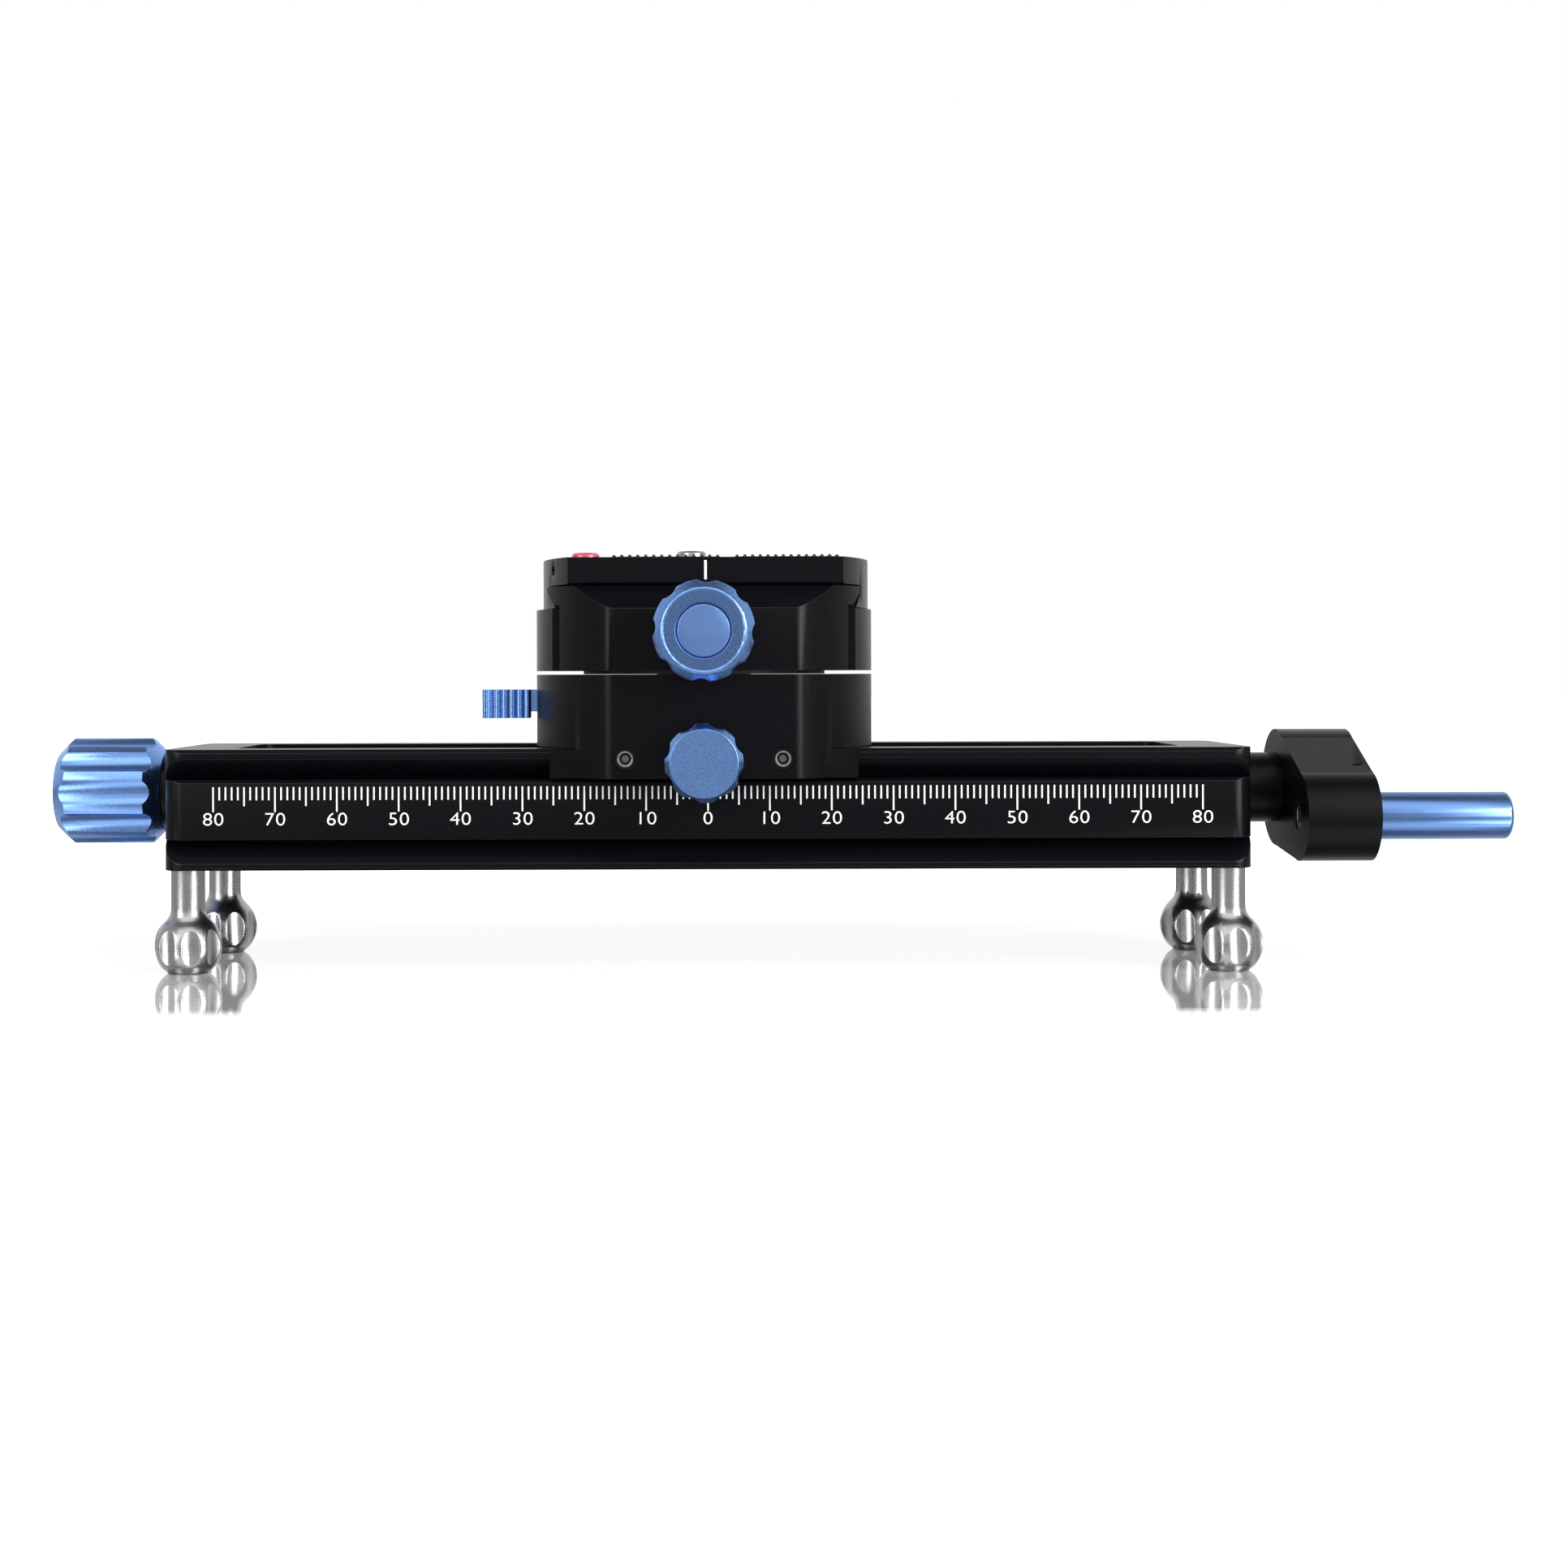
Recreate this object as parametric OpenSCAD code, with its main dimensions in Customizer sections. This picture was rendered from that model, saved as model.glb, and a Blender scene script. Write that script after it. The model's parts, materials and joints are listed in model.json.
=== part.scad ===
// Macro focusing rail: a dovetail rail on four screw-in feet, a carriage driven by a
// lead screw, a panning quick-release clamp with a lever lock, and a camera plate.
// X runs along the rail, Y points away from the front scale, Z is up. The origin is
// the mouth of the middle tripod thread, in the rail's underside.

/* [Rail] */
// Length of the rail
rail_l = 176.8; // [160:0.4:220]
// Width of the rail across both dovetails
rail_w = 38; // [37:0.1:39]
// Height of the rail
rail_h = 19.6; // [19.2:0.1:22]
// Height of the lower clamping lip
lip_h = 1.1; // [0.8:0.1:1.4]
// Depth of the 45 degree lower dovetail
lower_dovetail = 3.9; // [3.5:0.1:4.2]
// Height of the top edge of the scale band
band_top = 14.6; // [14.2:0.1:15]
// Depth of the 45 degree upper dovetail
upper_dovetail = 3.45; // [3.2:0.05:3.6]
// Edge break on the top lips
top_chamfer = 0.6; // [0.2:0.1:0.8]
// Edge break on the other long edges
edge_chamfer = 0.45; // [0.2:0.05:0.6]
// Radius of the rail's four upright corners
rail_corner = 3.45; // [2:0.05:5]
// Length of each solid end of the rail, past the screw channel
end_wall = 10.4; // [9:0.1:14]
// Width of the screw channel
channel_w = 24; // [23.6:0.1:26]
// Thickness of the channel floor
channel_floor = 4; // [3.5:0.1:4.3]
// Corner radius of the channel
channel_corner = 3; // [1:0.5:5]
// Radius of the middle tripod thread, at its tapping size
tripod_r = 3.95; // [3.8:0.05:4.1]
// Radius of the two smaller tripod threads, at their tapping size
small_tripod_r = 2.55; // [2.4:0.05:2.7]
// Distance from the middle thread to each smaller one
small_tripod_x = 25; // [18:1:40]

/* [Feet] */
// Distance from the rail's middle to a foot, along the rail
foot_x = 85; // [75:0.5:85]
// Distance from the rail's middle to a foot, across the rail
foot_y = 14.7; // [13.5:0.1:14.8]
// Height of a foot under the rail
foot_h = 16.9; // [16:0.1:24]
// Radius of a foot's stem
foot_stem_r = 2.73; // [2.4:0.01:3]
// Radius of a foot's ball
foot_ball_r = 5.5; // [5:0.1:6]
// Height of the widest part of a foot above the ground
foot_ball_z = 4.4; // [4:0.1:5]
// Radius of the fillet from stem to ball
foot_fillet = 3; // [2:0.1:4]
// Radius of a foot's base
foot_base_r = 3.2; // [3:0.1:3.6]
// Radius of a foot's threaded stud
stud_r = 1.95; // [1.5:0.05:2]
// Length of a foot's threaded stud
stud_l = 2.9; // [2:0.1:2.9]
// Number of finger scallops round a foot
scallops = 8; // [6:1:10]
// Radius of a finger scallop
scallop_r = 2.46; // [1.8:0.01:2.8]
// Depth of a finger scallop
scallop_depth = 0.83; // [0.4:0.01:1]

/* [Drive] */
// Height of the lead screw's axis
screw_z = 12.2; // [12:0.1:12.4]
// Outer radius of the lead screw's thread
screw_r = 4; // [3.6:0.1:4.2]
// Radius of the lead screw's end journals
journal_r = 3; // [2.6:0.1:3.1]
// Outer radius of the two ball bearings
bearing_r = 6.5; // [6.2:0.1:6.7]
// Width of a ball bearing
bearing_w = 5; // [4:0.5:5]
// Radius of the bearing balls' circle
ball_circle_r = 4.85; // [4.8:0.05:4.9]
// Radius of a bearing ball
ball_r = 0.58; // [0.5:0.02:0.6]
// Balls in each bearing
ball_count = 8; // [6:1:12]
// Radius of the collars on the lead screw
collar_r = 5.9; // [5.2:0.1:6.3]
// Length of the collar between the rail and the drive knob
left_collar_l = 3.3; // [2.5:0.1:6]
// Length of the collar between the rail and the crank
right_collar_l = 7.8; // [6:0.1:10]
// Radius of the drive knob
knob_r = 8.85; // [8:0.05:10]
// Length of the drive knob
knob_l = 17.7; // [14:0.1:24]
// Chamfer at both ends of the drive knob
knob_chamfer = 2.3; // [1:0.1:3]
// Number of flutes round the drive knob
flutes = 10; // [8:2:12]
// Radius of a drive knob flute
flute_r = 2.75; // [2:0.05:3]
// Depth of a drive knob flute
flute_depth = 1; // [0.5:0.05:1.4]

/* [Crank] */
// Radius of the crank arm round the screw
crank_hub_r = 9.85; // [8:0.05:10.5]
// Radius of the crank arm round the handle
crank_end_r = 7.35; // [6:0.05:8]
// Distance from the screw to the handle
crank_throw = 16; // [14:0.5:24]
// Angle of the crank arm below level, towards the front
crank_tilt = 14.4; // [-60:0.1:60]
// Thickness of the crank arm
crank_t = 11.8; // [9:0.1:14]
// Radius of the crank handle
handle_r = 3.85; // [3.7:0.05:6]
// Length of the crank handle
handle_l = 22.3; // [18:0.1:40]
// Rounding of the handle's end
handle_round = 0.8; // [0.3:0.1:1]
// Radius of the pin that the handle turns on
pin_r = 2.25; // [1.8:0.05:2.3]
// Radius of the pin's head
pin_head_r = 3; // [2.8:0.05:3.1]
// Length of the pin's head
pin_head_l = 2.4; // [1.6:0.1:3]

/* [Carriage] */
// Place of the carriage on the scale
carriage_x = -0.6; // [-40:0.1:40]
// Radius of the round carriage and clamp
drum_r = 28.3; // [28:0.1:32]
// Distance from the middle to the carriage's front and back flats
drum_flat = 23.9; // [23.5:0.1:25]
// Rounding where a flat meets the round side
drum_corner = 3; // [1.5:0.1:4]
// Height of the bottom of the carriage's skirts
skirt_z = 14.9; // [14.8:0.1:15.2]
// Length of the skirts, whose ends stand out past the round side
skirt_l = 49.8; // [44:0.1:56]
// Width of the carriage across the ends of the skirts
skirt_w = 40; // [39.6:0.1:41]
// Height of the top of the carriage
carriage_top = 31.6; // [31.4:0.1:34]
// Thickness of the gib strip
gib_t = 1.4; // [1.2:0.1:1.6]
// Length of the gib strip
gib_l = 36; // [30:1:36]
// Distance from the middle to each gib screw
gib_screw_x = 12.66; // [10:0.1:14]
// Height of the gib screws
gib_screw_z = 18.05; // [17.6:0.05:18.1]
// Radius of a gib screw
gib_screw_r = 1.9; // [1.5:0.05:2]
// Length of the nut block
block_l = 28; // [26:1:30]
// Width of the nut block
block_w = 22; // [21:0.5:22.4]
// Radius of the drive nut's body
nut_r = 5.5; // [5:0.1:5.6]
// Radius of the drive nut's flange
nut_flange_r = 6.8; // [6.4:0.1:6.9]
// Thickness of the drive nut's flange
nut_flange_t = 2; // [1:0.5:3]

/* [Rail lock] */
// Height of the rail lock knob
lock_z = 17.7; // [17.2:0.1:18]
// Outer radius of the rail lock knob
lock_r = 6.2; // [5.5:0.1:6.8]
// Radius of the rail lock knob's flat face
lock_face_r = 5.35; // [4.8:0.05:5.5]
// Length of the rail lock knob
lock_l = 9.8; // [7:0.1:13]
// Lobes round each small knob
lobes = 8; // [6:1:10]
// Radius of the lock knob's screw
lock_screw_r = 2; // [1.8:0.1:2.2]

/* [Pan lock lever] */
// Distance from the carriage's round side in to the lever's pivot
lever_inset = 7.3; // [7:0.1:7.6]
// Distance from the carriage's round side out to the end of the lever
lever_out = 9.05; // [8:0.05:18]
// Width of the lever's grip
lever_w = 7; // [6:0.1:8]
// Width of the lever's arm
lever_arm_w = 5; // [4:0.1:5.5]
// Height of the bottom of the lever's grip
lever_grip_z = 24.3; // [24:0.1:24.6]
// Height of the bottom of the lever's arm
lever_z = 25.4; // [25.3:0.1:26]
// Height of the top of the lever
lever_top = 29.1; // [28.6:0.1:29.3]
// Radius of the lever's cam
cam_r = 4; // [3.6:0.1:4]
// Offset of the cam from the pivot
cam_throw = 0.4; // [0.2:0.1:0.5]
// How far the lever swings to free the clamp
lever_swing = 35; // [20:1:40]
// Pitch of the ridges on the lever's grip
ridge_pitch = 1.25; // [1:0.05:1.6]

/* [Clamp] */
// Gap between the carriage and the clamp
pan_gap = 0.6; // [0.5:0.1:1]
// Radius of the washer in that gap
washer_r = 20.4; // [18:0.1:24]
// Radius of the panning spindle
spindle_r = 8; // [7:0.1:8.2]
// Height of the clamp's floor above its underside
clamp_floor = 10.2; // [9.8:0.1:11]
// Height of the jaws above the clamp's floor
jaw_h = 3.6; // [3.4:0.1:4]
// Distance from the middle to the clamp body's front face
body_front = 13.5; // [12.5:0.1:13.6]
// Distance from the middle to the front jaw's inner face
jaw_back = 15.7; // [15.4:0.1:16.5]
// Distance from the middle to the tips of the jaws
jaw_tip = 11.7; // [11:0.1:12]
// Distance from the middle to the inner end of the jaws' undercut
jaw_heel = 14.05; // [13.8:0.05:14.4]
// Height of the jaws' upright tips
jaw_tip_h = 0.9; // [0.6:0.1:1.2]
// Height of the undercut's inner end above the clamp's floor
jaw_heel_h = 0.5; // [0.4:0.1:0.8]
// Distance from the middle to the top of the jaws' outer bevel
jaw_bevel = 18.8; // [17:0.1:20]
// Height of the outer bevel's foot above the clamp's floor
jaw_bevel_foot = -0.2; // [-1:0.1:0.6]
// Height of the clamp screw above the clamp's underside
clamp_screw_h = 6.2; // [5.6:0.1:6.6]
// Radius of the clamp screw
clamp_screw_r = 2.95; // [2.4:0.05:3]
// Distance from the middle to each guide pin
guide_x = 16; // [12:0.5:17]
// Radius of a guide pin
guide_r = 1.5; // [1.2:0.1:1.8]
// Depth of a guide pin's hole in the clamp body
guide_depth = 8; // [5:0.5:10]
// Metal left between a guide pin's hole and the jaw's front flat
guide_wall = 3.6; // [3:0.1:5]
// Outer radius of the clamp knob
clamp_knob_r = 8; // [7:0.1:9]
// Length of the clamp knob
clamp_knob_l = 11.6; // [9:0.1:14]
// Radius of the clamp knob's bright inner rim
rim_r = 6.6; // [6:0.1:7]
// Radius of the clamp knob's cap
cap_r = 4.3; // [3.5:0.1:4.8]

/* [Camera plate] */
// Length of the camera plate
plate_l = 54.8; // [50:0.1:60]
// Place of the camera plate in the clamp, from the clamp's middle
plate_x = 0.3; // [-10:0.1:10]
// Length of the plate's straight front edge
plate_front_l = 44.6; // [40:0.1:48]
// Thickness of the plate's flange
flange_t = 4.4; // [3.6:0.1:5]
// Gap between the jaws and the plate's flange
flange_gap = 0.2; // [0.1:0.05:0.3]
// Thickness of the rubber pads
pad_t = 0.6; // [0.4:0.1:0.8]
// Width of the pads across the plate
pad_w = 30; // [26:0.5:32]
// Pitch of the pads' ridges
pad_pitch = 1.3; // [1:0.1:2]
// Radius of the camera screw, at the tips of its thread
camera_screw_r = 3.1; // [3:0.05:3.15]
// Radius of the camera screw's plain tip
camera_tip_r = 2.45; // [2.2:0.05:2.6]
// Distance from the plate's middle to the camera screw
camera_screw_x = -2.4; // [-3:0.1:0]
// Height of the camera screw's tip above the plate
camera_screw_h = 1.8; // [1:0.1:5]
// Radius of the alignment pin
align_r = 2.25; // [1.5:0.05:2.4]
// Height of the alignment pin above the plate
align_h = 0.9; // [0.4:0.1:2]
// Distance from the plate's middle to the alignment pin, along the rail
align_x = 19.65; // [19:0.05:20]
// Distance from the plate's middle to the alignment pin, across the rail
align_y = 13.3; // [12:0.1:15]

/* [Hidden] */

$fn = 96;
// Radial clearance of a turning or sliding fit
run_gap = 0.05;
// Radial clearance of a fixed fit
fixed_gap = 0.02;
// Gap between flat sliding faces
slide_gap = 0.1;
// Gap between a turning piece and the piece beside it
side_gap = 0.3;
// How far a cut runs past the face that it opens
cut = 1;

half_l = rail_l / 2;
half_w = rail_w / 2;
channel_x = half_l - end_wall;
neck_y = half_w - upper_dovetail;
lip_top = band_top + upper_dovetail;
bearing_x = half_l - bearing_w;
inner_ring_r = ball_circle_r - ball_r - fixed_gap;
outer_ring_r = ball_circle_r + ball_r + fixed_gap;
shaft_hole_r = screw_r + side_gap;
collar_boss_r = inner_ring_r - fixed_gap;

left_knob_x = -half_l - left_collar_l;
knob_bore_l = knob_l - 5;
crank_x = half_l + right_collar_l;
crank_end_x = crank_x + crank_t;
crank_bore_l = crank_t - 2.5;
handle_y = -crank_throw * cos(crank_tilt);
handle_z = screw_z - crank_throw * sin(crank_tilt);
handle_x = crank_end_x + slide_gap;
pin_head_x = handle_x + handle_l - pin_head_l - handle_round;
pin_end_x = crank_x + 0.2;
grub_r = 1.45;
grub_socket_r = 0.85;
grub_socket_l = 1;
crank_grub_x = crank_end_x - 1.9;
// How far the arm's straight sides run inside its two rounds
crank_blend = 0.08;

carriage_z = rail_h + slide_gap;
tunnel_y = half_w + slide_gap;
slope_shift = neck_y - band_top + slide_gap * sqrt(2);
gib_out = tunnel_y + gib_t;
pocket_y = gib_out + run_gap;
gib_bottom = skirt_z + 1;
gib_top = rail_h - slide_gap;
lock_pad_t = 0.8;
gib_screw_front = drum_flat - 0.9;

block_bottom = channel_floor + 0.6;
block_screw_x = 10.8;
block_screw_y = 8.3;
m25_r = 1.2;
m25_head_r = 2.2;
m25_head_h = 2.5;
m25_socket_r = 1.15;
block_screw_top = lever_z - 1.1;
nut_l = block_l - 2;

clamp_z = carriage_top + pan_gap;
floor_z = clamp_z + clamp_floor;
jaw_top = floor_z + jaw_h;
tip_z = jaw_top - jaw_tip_h;
heel_z = floor_z + jaw_heel_h;
clamp_screw_z = clamp_z + clamp_screw_h;
clamp_screw_end = 7;

retainer_r = 10.3;
retainer_t = 3.2;
retainer_z = carriage_z + 0.7;
shoulder_z = retainer_z + retainer_t + slide_gap;
retainer_screw_circle = 5.4;
spindle_neck_r = 7;
spindle_neck_h = 3.8;
m5_r = 2.45;
m5_head_r = 4.3;
m5_head_h = 3.2;
m5_socket_r = 2.3;
spindle_screw_end = clamp_z - 6;

lever_pivot = drum_r - lever_inset;
lever_reach = drum_r + lever_out;
slot_gap = 0.2;
slot_r = cam_r + cam_throw + side_gap;
lever_pin_r = 1.5;
lever_pin_bottom = lever_grip_z - 1.8;
shoe_r = 2;
shoe_z = (lever_z + lever_top) / 2;
shoe_end = spindle_r + 2 * run_gap;
shoe_start = lever_pivot - cam_r - cam_throw - slide_gap / 2;

knob_washer = 0.4;
lock_neck_l = 2.4;
clamp_neck_l = drum_r + side_gap - drum_flat - knob_washer + 0.2;
scoop_r = 2.6;
scoop_depth = 0.5;

plate_z = floor_z + slide_gap;
flange_z = jaw_top + flange_gap;
plate_top = flange_z + flange_t;
plate_neck = jaw_tip - 0.12;
plate_heel = jaw_heel - 0.12;
plate_lip_z = heel_z - 0.08;
plate_bow = (plate_l - plate_front_l) / 2;
plate_end_r = (pow(half_w, 2) + pow(plate_bow, 2)) / (2 * plate_bow);
head_r = 5.6;
head_h = 3.3;
head_recess_h = 3.8;
pad_base = 0.25;
pad_left_x0 = -15.65;
pad_left_x1 = 2.65;
pad_right_x0 = 4.55;
pad_right_x1 = 22.2;
plate_grub_r = 0.8;
plate_grub_z = plate_top - 2;
plate_grub_recess = 0.6;

// A row of points mirrored in Y and run back, so a half section closes on itself.
function both_sides(half) = concat(half, [for (i = [len(half) - 1:-1:0]) [-half[i][0], half[i][1]]]);

// Place on the plate's bowed end, at a distance y from its middle line.
function plate_end_x(y) = sqrt(pow(plate_end_r, 2) - y * y) - plate_end_r + plate_l / 2;

module along_x(length) {
    rotate([90, 0, 90]) linear_extrude(length, center = true) children();
}

module rod_x(r, x0, x1) {
    translate([x0, 0, 0]) rotate([0, 90, 0]) cylinder(r = r, h = x1 - x0);
}

module rod_y(r, y0, y1) {
    translate([0, y0, 0]) rotate([-90, 0, 0]) cylinder(r = r, h = y1 - y0);
}

module hex_x(r, x0, x1) {
    translate([x0, 0, 0]) rotate([0, 90, 0]) cylinder(r = r, h = x1 - x0, $fn = 6);
}

// A solid turned about the Y axis from a section of radius and distance towards the front.
module turned_front() {
    rotate([90, 0, 0]) rotate_extrude() children();
}

module rounded_plan(l, w, r) {
    square([l - 2 * r, w], center = true);
    square([l, w - 2 * r], center = true);
    for (x = [-1, 1], y = [-1, 1]) translate([x * (l / 2 - r), y * (w / 2 - r)]) circle(r);
}

// Plan of the carriage and clamp: a circle with a front and a back flat, corners blended.
module drum_plan() {
    corner_y = drum_flat - drum_corner;
    corner_x = sqrt(pow(drum_r - drum_corner, 2) - pow(corner_y, 2));
    reach = drum_r + cut;
    rise = reach * corner_y / corner_x;
    intersection() {
        circle(drum_r, $fn = 180);
        union() {
            polygon([[0, 0], [reach, rise], [reach, -rise]]);
            polygon([[0, 0], [-reach, -rise], [-reach, rise]]);
        }
    }
    square([2 * corner_x, 2 * drum_flat], center = true);
    for (x = [-1, 1], y = [-1, 1]) translate([x * corner_x, y * corner_y]) circle(drum_corner);
}

module on_carriage() {
    translate([carriage_x, 0, 0]) children();
}

module on_plate() {
    translate([carriage_x + plate_x, 0, 0]) children();
}

// ---- Rail and feet

module rail_section() {
    lip_y = half_w - lower_dovetail;
    polygon(both_sides([
        [half_w - edge_chamfer, 0], [half_w, edge_chamfer], [half_w, lip_h],
        [lip_y, lip_h + lower_dovetail], [half_w, lip_h + lower_dovetail],
        [half_w, band_top - edge_chamfer], [half_w - edge_chamfer, band_top],
        [neck_y, band_top], [half_w, lip_top], [half_w, rail_h - top_chamfer],
        [half_w - top_chamfer, rail_h]
    ]));
}

module at_feet() {
    for (x = [-1, 1], y = [-1, 1]) translate([x * foot_x, y * foot_y, 0]) children();
}

module rail_body() {
    color("#17181b") difference() {
        intersection() {
            along_x(rail_l) rail_section();
            linear_extrude(rail_h) rounded_plan(rail_l, rail_w, rail_corner);
        }
        translate([0, 0, channel_floor]) linear_extrude(rail_h)
            rounded_plan(2 * channel_x, channel_w, channel_corner);
        translate([0, 0, screw_z]) {
            rod_x(shaft_hole_r, -half_l - cut, half_l + cut);
            rod_x(bearing_r, bearing_x, half_l + cut);
            rod_x(bearing_r, -half_l - cut, -bearing_x);
        }
        at_feet() translate([0, 0, -cut]) cylinder(r = stud_r + run_gap, h = stud_l + 0.2 + cut);
        translate([0, 0, -cut]) cylinder(r = tripod_r, h = channel_floor + 2 * cut);
        for (x = [-1, 1]) translate([x * small_tripod_x, 0, -cut])
            cylinder(r = small_tripod_r, h = channel_floor + 2 * cut);
    }
}

module foot_section() {
    ball_z = foot_ball_z - foot_h;
    bend_r = foot_stem_r + foot_fillet;
    reach = foot_ball_r + foot_fillet;
    bend_z = ball_z + sqrt(reach * reach - bend_r * bend_r);
    bend_angle = acos(bend_r / reach);
    base_z = 0.8 - foot_h;
    base_angle = asin((base_z - ball_z) / foot_ball_r);
    steps = 16;
    polygon(concat(
        [[0, stud_l], [stud_r, stud_l], [stud_r, 0], [foot_stem_r, 0]],
        [for (i = [0:6]) let (a = 180 + bend_angle * i / 6)
            [bend_r + foot_fillet * cos(a), bend_z + foot_fillet * sin(a)]],
        [for (i = [1:steps]) let (a = bend_angle + (base_angle - bend_angle) * i / steps)
            [foot_ball_r * cos(a), ball_z + foot_ball_r * sin(a)]],
        [[foot_base_r, -foot_h], [0, -foot_h]]
    ));
}

// A screw-in foot, with its scallops turned to a given angle.
module foot(phase) {
    color("#c3c4c6") difference() {
        rotate_extrude() foot_section();
        for (i = [0:scallops - 1]) rotate(phase + i * 360 / scallops)
            translate([foot_ball_r - scallop_depth + scallop_r, 0, -foot_h - cut])
                cylinder(r = scallop_r, h = 2 * foot_ball_z + 2 * cut, $fn = 48);
    }
}

module foot_front_left() { translate([-foot_x, -foot_y, 0]) foot(17); }
module foot_front_right() { translate([foot_x, -foot_y, 0]) foot(5); }
module foot_rear_left() { translate([-foot_x, foot_y, 0]) foot(31); }
module foot_rear_right() { translate([foot_x, foot_y, 0]) foot(22); }

// ---- Lead screw and bearings

module ring_x(outer, inner, x0, x1) {
    difference() {
        rod_x(outer, x0, x1);
        rod_x(inner, x0 - cut, x1 + cut);
    }
}

module at_both_bearings() {
    translate([0, 0, screw_z]) for (side = [0, 1]) mirror([side, 0, 0]) children();
}

module bearing_outer_rings() {
    color("#b9bcc0") at_both_bearings()
        ring_x(bearing_r - fixed_gap, outer_ring_r, bearing_x, half_l);
}

module bearing_inner_rings() {
    color("#b9bcc0") at_both_bearings() ring_x(inner_ring_r, journal_r, bearing_x, half_l);
}

module bearing_balls() {
    color("#d0d2d5") at_both_bearings() for (i = [0:ball_count - 1])
        rotate([i * 360 / ball_count, 0, 0])
            translate([bearing_x + bearing_w / 2, 0, ball_circle_r]) sphere(ball_r, $fn = 24);
}

module lead_screw() {
    color("#a9adb2") translate([0, 0, screw_z]) {
        rod_x(screw_r, -bearing_x, bearing_x);
        rod_x(journal_r - fixed_gap, left_knob_x - knob_bore_l + 0.2, crank_x + crank_bore_l - 0.2);
    }
}

// A collar that bears on a bearing's inner ring and stands clear of the rail.
module collar(length) {
    difference() {
        union() {
            rod_x(collar_r, half_l + side_gap, half_l + length);
            rod_x(collar_boss_r, half_l, half_l + length);
        }
        rod_x(journal_r, half_l - cut, half_l + length + cut);
    }
}

module left_collar() {
    color("#1b1c1f") translate([0, 0, screw_z]) mirror([1, 0, 0]) collar(left_collar_l);
}

module right_collar() {
    color("#1b1c1f") translate([0, 0, screw_z]) collar(right_collar_l);
}

module drive_knob() {
    outer_x = left_knob_x - knob_l;
    color("#2f6fb2") translate([0, 0, screw_z]) difference() {
        translate([outer_x, 0, 0]) rotate([0, 90, 0]) rotate_extrude() polygon([
            [0, 0], [knob_r - knob_chamfer, 0], [knob_r, knob_chamfer],
            [knob_r, knob_l - knob_chamfer], [knob_r - knob_chamfer, knob_l], [0, knob_l]
        ]);
        for (i = [0:flutes - 1]) rotate([i * 360 / flutes, 0, 0])
            translate([0, knob_r - flute_depth + flute_r, 0])
                rod_x(flute_r, outer_x - cut, left_knob_x + cut);
        rod_x(journal_r, left_knob_x - knob_bore_l, left_knob_x + cut);
        translate([left_knob_x - knob_l / 2, 0, 0]) rod_y(grub_r + run_gap, 0, knob_r);
    }
}

// A socket set screw that points along -Y, its socket end outermost.
module grub(y0, y1) {
    difference() {
        rod_y(grub_r, y0, y1);
        translate([0, y1 - grub_socket_l, 0]) rotate([-90, 0, 0])
            cylinder(r = grub_socket_r, h = grub_socket_l + cut, $fn = 6);
    }
}

module at_pin_grub() {
    translate([crank_grub_x, handle_y, handle_z]) rotate([90 - crank_tilt, 0, 0]) children();
}

module drive_grub_screws() {
    color("#3c3e42") {
        translate([left_knob_x - knob_l / 2, 0, screw_z])
            grub(journal_r, knob_r - flute_depth - 0.4);
        translate([crank_x + crank_t / 2, 0, screw_z]) rotate([90 - crank_tilt, 0, 0])
            grub(journal_r, journal_r + 4);
        at_pin_grub() grub(pin_r + fixed_gap, pin_r + 3.6);
    }
}

module crank_arm() {
    lean = acos((crank_hub_r - crank_end_r) / crank_throw);
    heading = 180 + crank_tilt;
    edge = [for (side = [-1, 1]) [cos(heading + side * lean), sin(heading + side * lean)]];
    color("#141517") difference() {
        translate([crank_x + crank_t / 2, 0, 0]) along_x(crank_t) {
            translate([0, screw_z]) circle(crank_hub_r, $fn = 128);
            translate([handle_y, handle_z]) circle(crank_end_r, $fn = 128);
            polygon([
                [0, screw_z] + (crank_hub_r - crank_blend) * edge[0],
                [handle_y, handle_z] + (crank_end_r - crank_blend) * edge[0],
                [handle_y, handle_z] + (crank_end_r - crank_blend) * edge[1],
                [0, screw_z] + (crank_hub_r - crank_blend) * edge[1]
            ]);
        }
        translate([0, 0, screw_z]) rod_x(journal_r, crank_x - cut, crank_x + crank_bore_l);
        translate([0, handle_y, handle_z]) rod_x(pin_r + fixed_gap, crank_x - cut, crank_end_x + cut);
        at_pin_grub() rod_y(grub_r + run_gap, 0, crank_end_r + cut);
        translate([crank_x + crank_t / 2, 0, screw_z]) rotate([90 - crank_tilt, 0, 0])
            rod_y(grub_r + run_gap, 0, crank_hub_r + cut);
    }
}

module crank_pin() {
    color("#8d9196") translate([0, handle_y, handle_z]) difference() {
        union() {
            rod_x(pin_r, pin_end_x, pin_head_x);
            rod_x(pin_head_r, pin_head_x, pin_head_x + pin_head_l - run_gap);
        }
        hex_x(1.45, pin_end_x - cut, pin_end_x + 2);
    }
}

module crank_handle() {
    color("#2f6fb2") translate([handle_x, handle_y, handle_z]) difference() {
        rotate([0, 90, 0]) rotate_extrude() polygon(concat(
            [[0, 0], [handle_r - 0.3, 0], [handle_r, 0.3]],
            [for (i = [0:5]) let (a = i * 18)
                [handle_r - handle_round + handle_round * cos(a),
                 handle_l - handle_round + handle_round * sin(a)]],
            [[0, handle_l]]
        ));
        rod_x(pin_r + run_gap, -cut, handle_l + cut);
        rod_x(pin_head_r + run_gap, pin_head_x - handle_x - run_gap, handle_l + cut);
    }
}

// ---- Carriage

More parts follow.
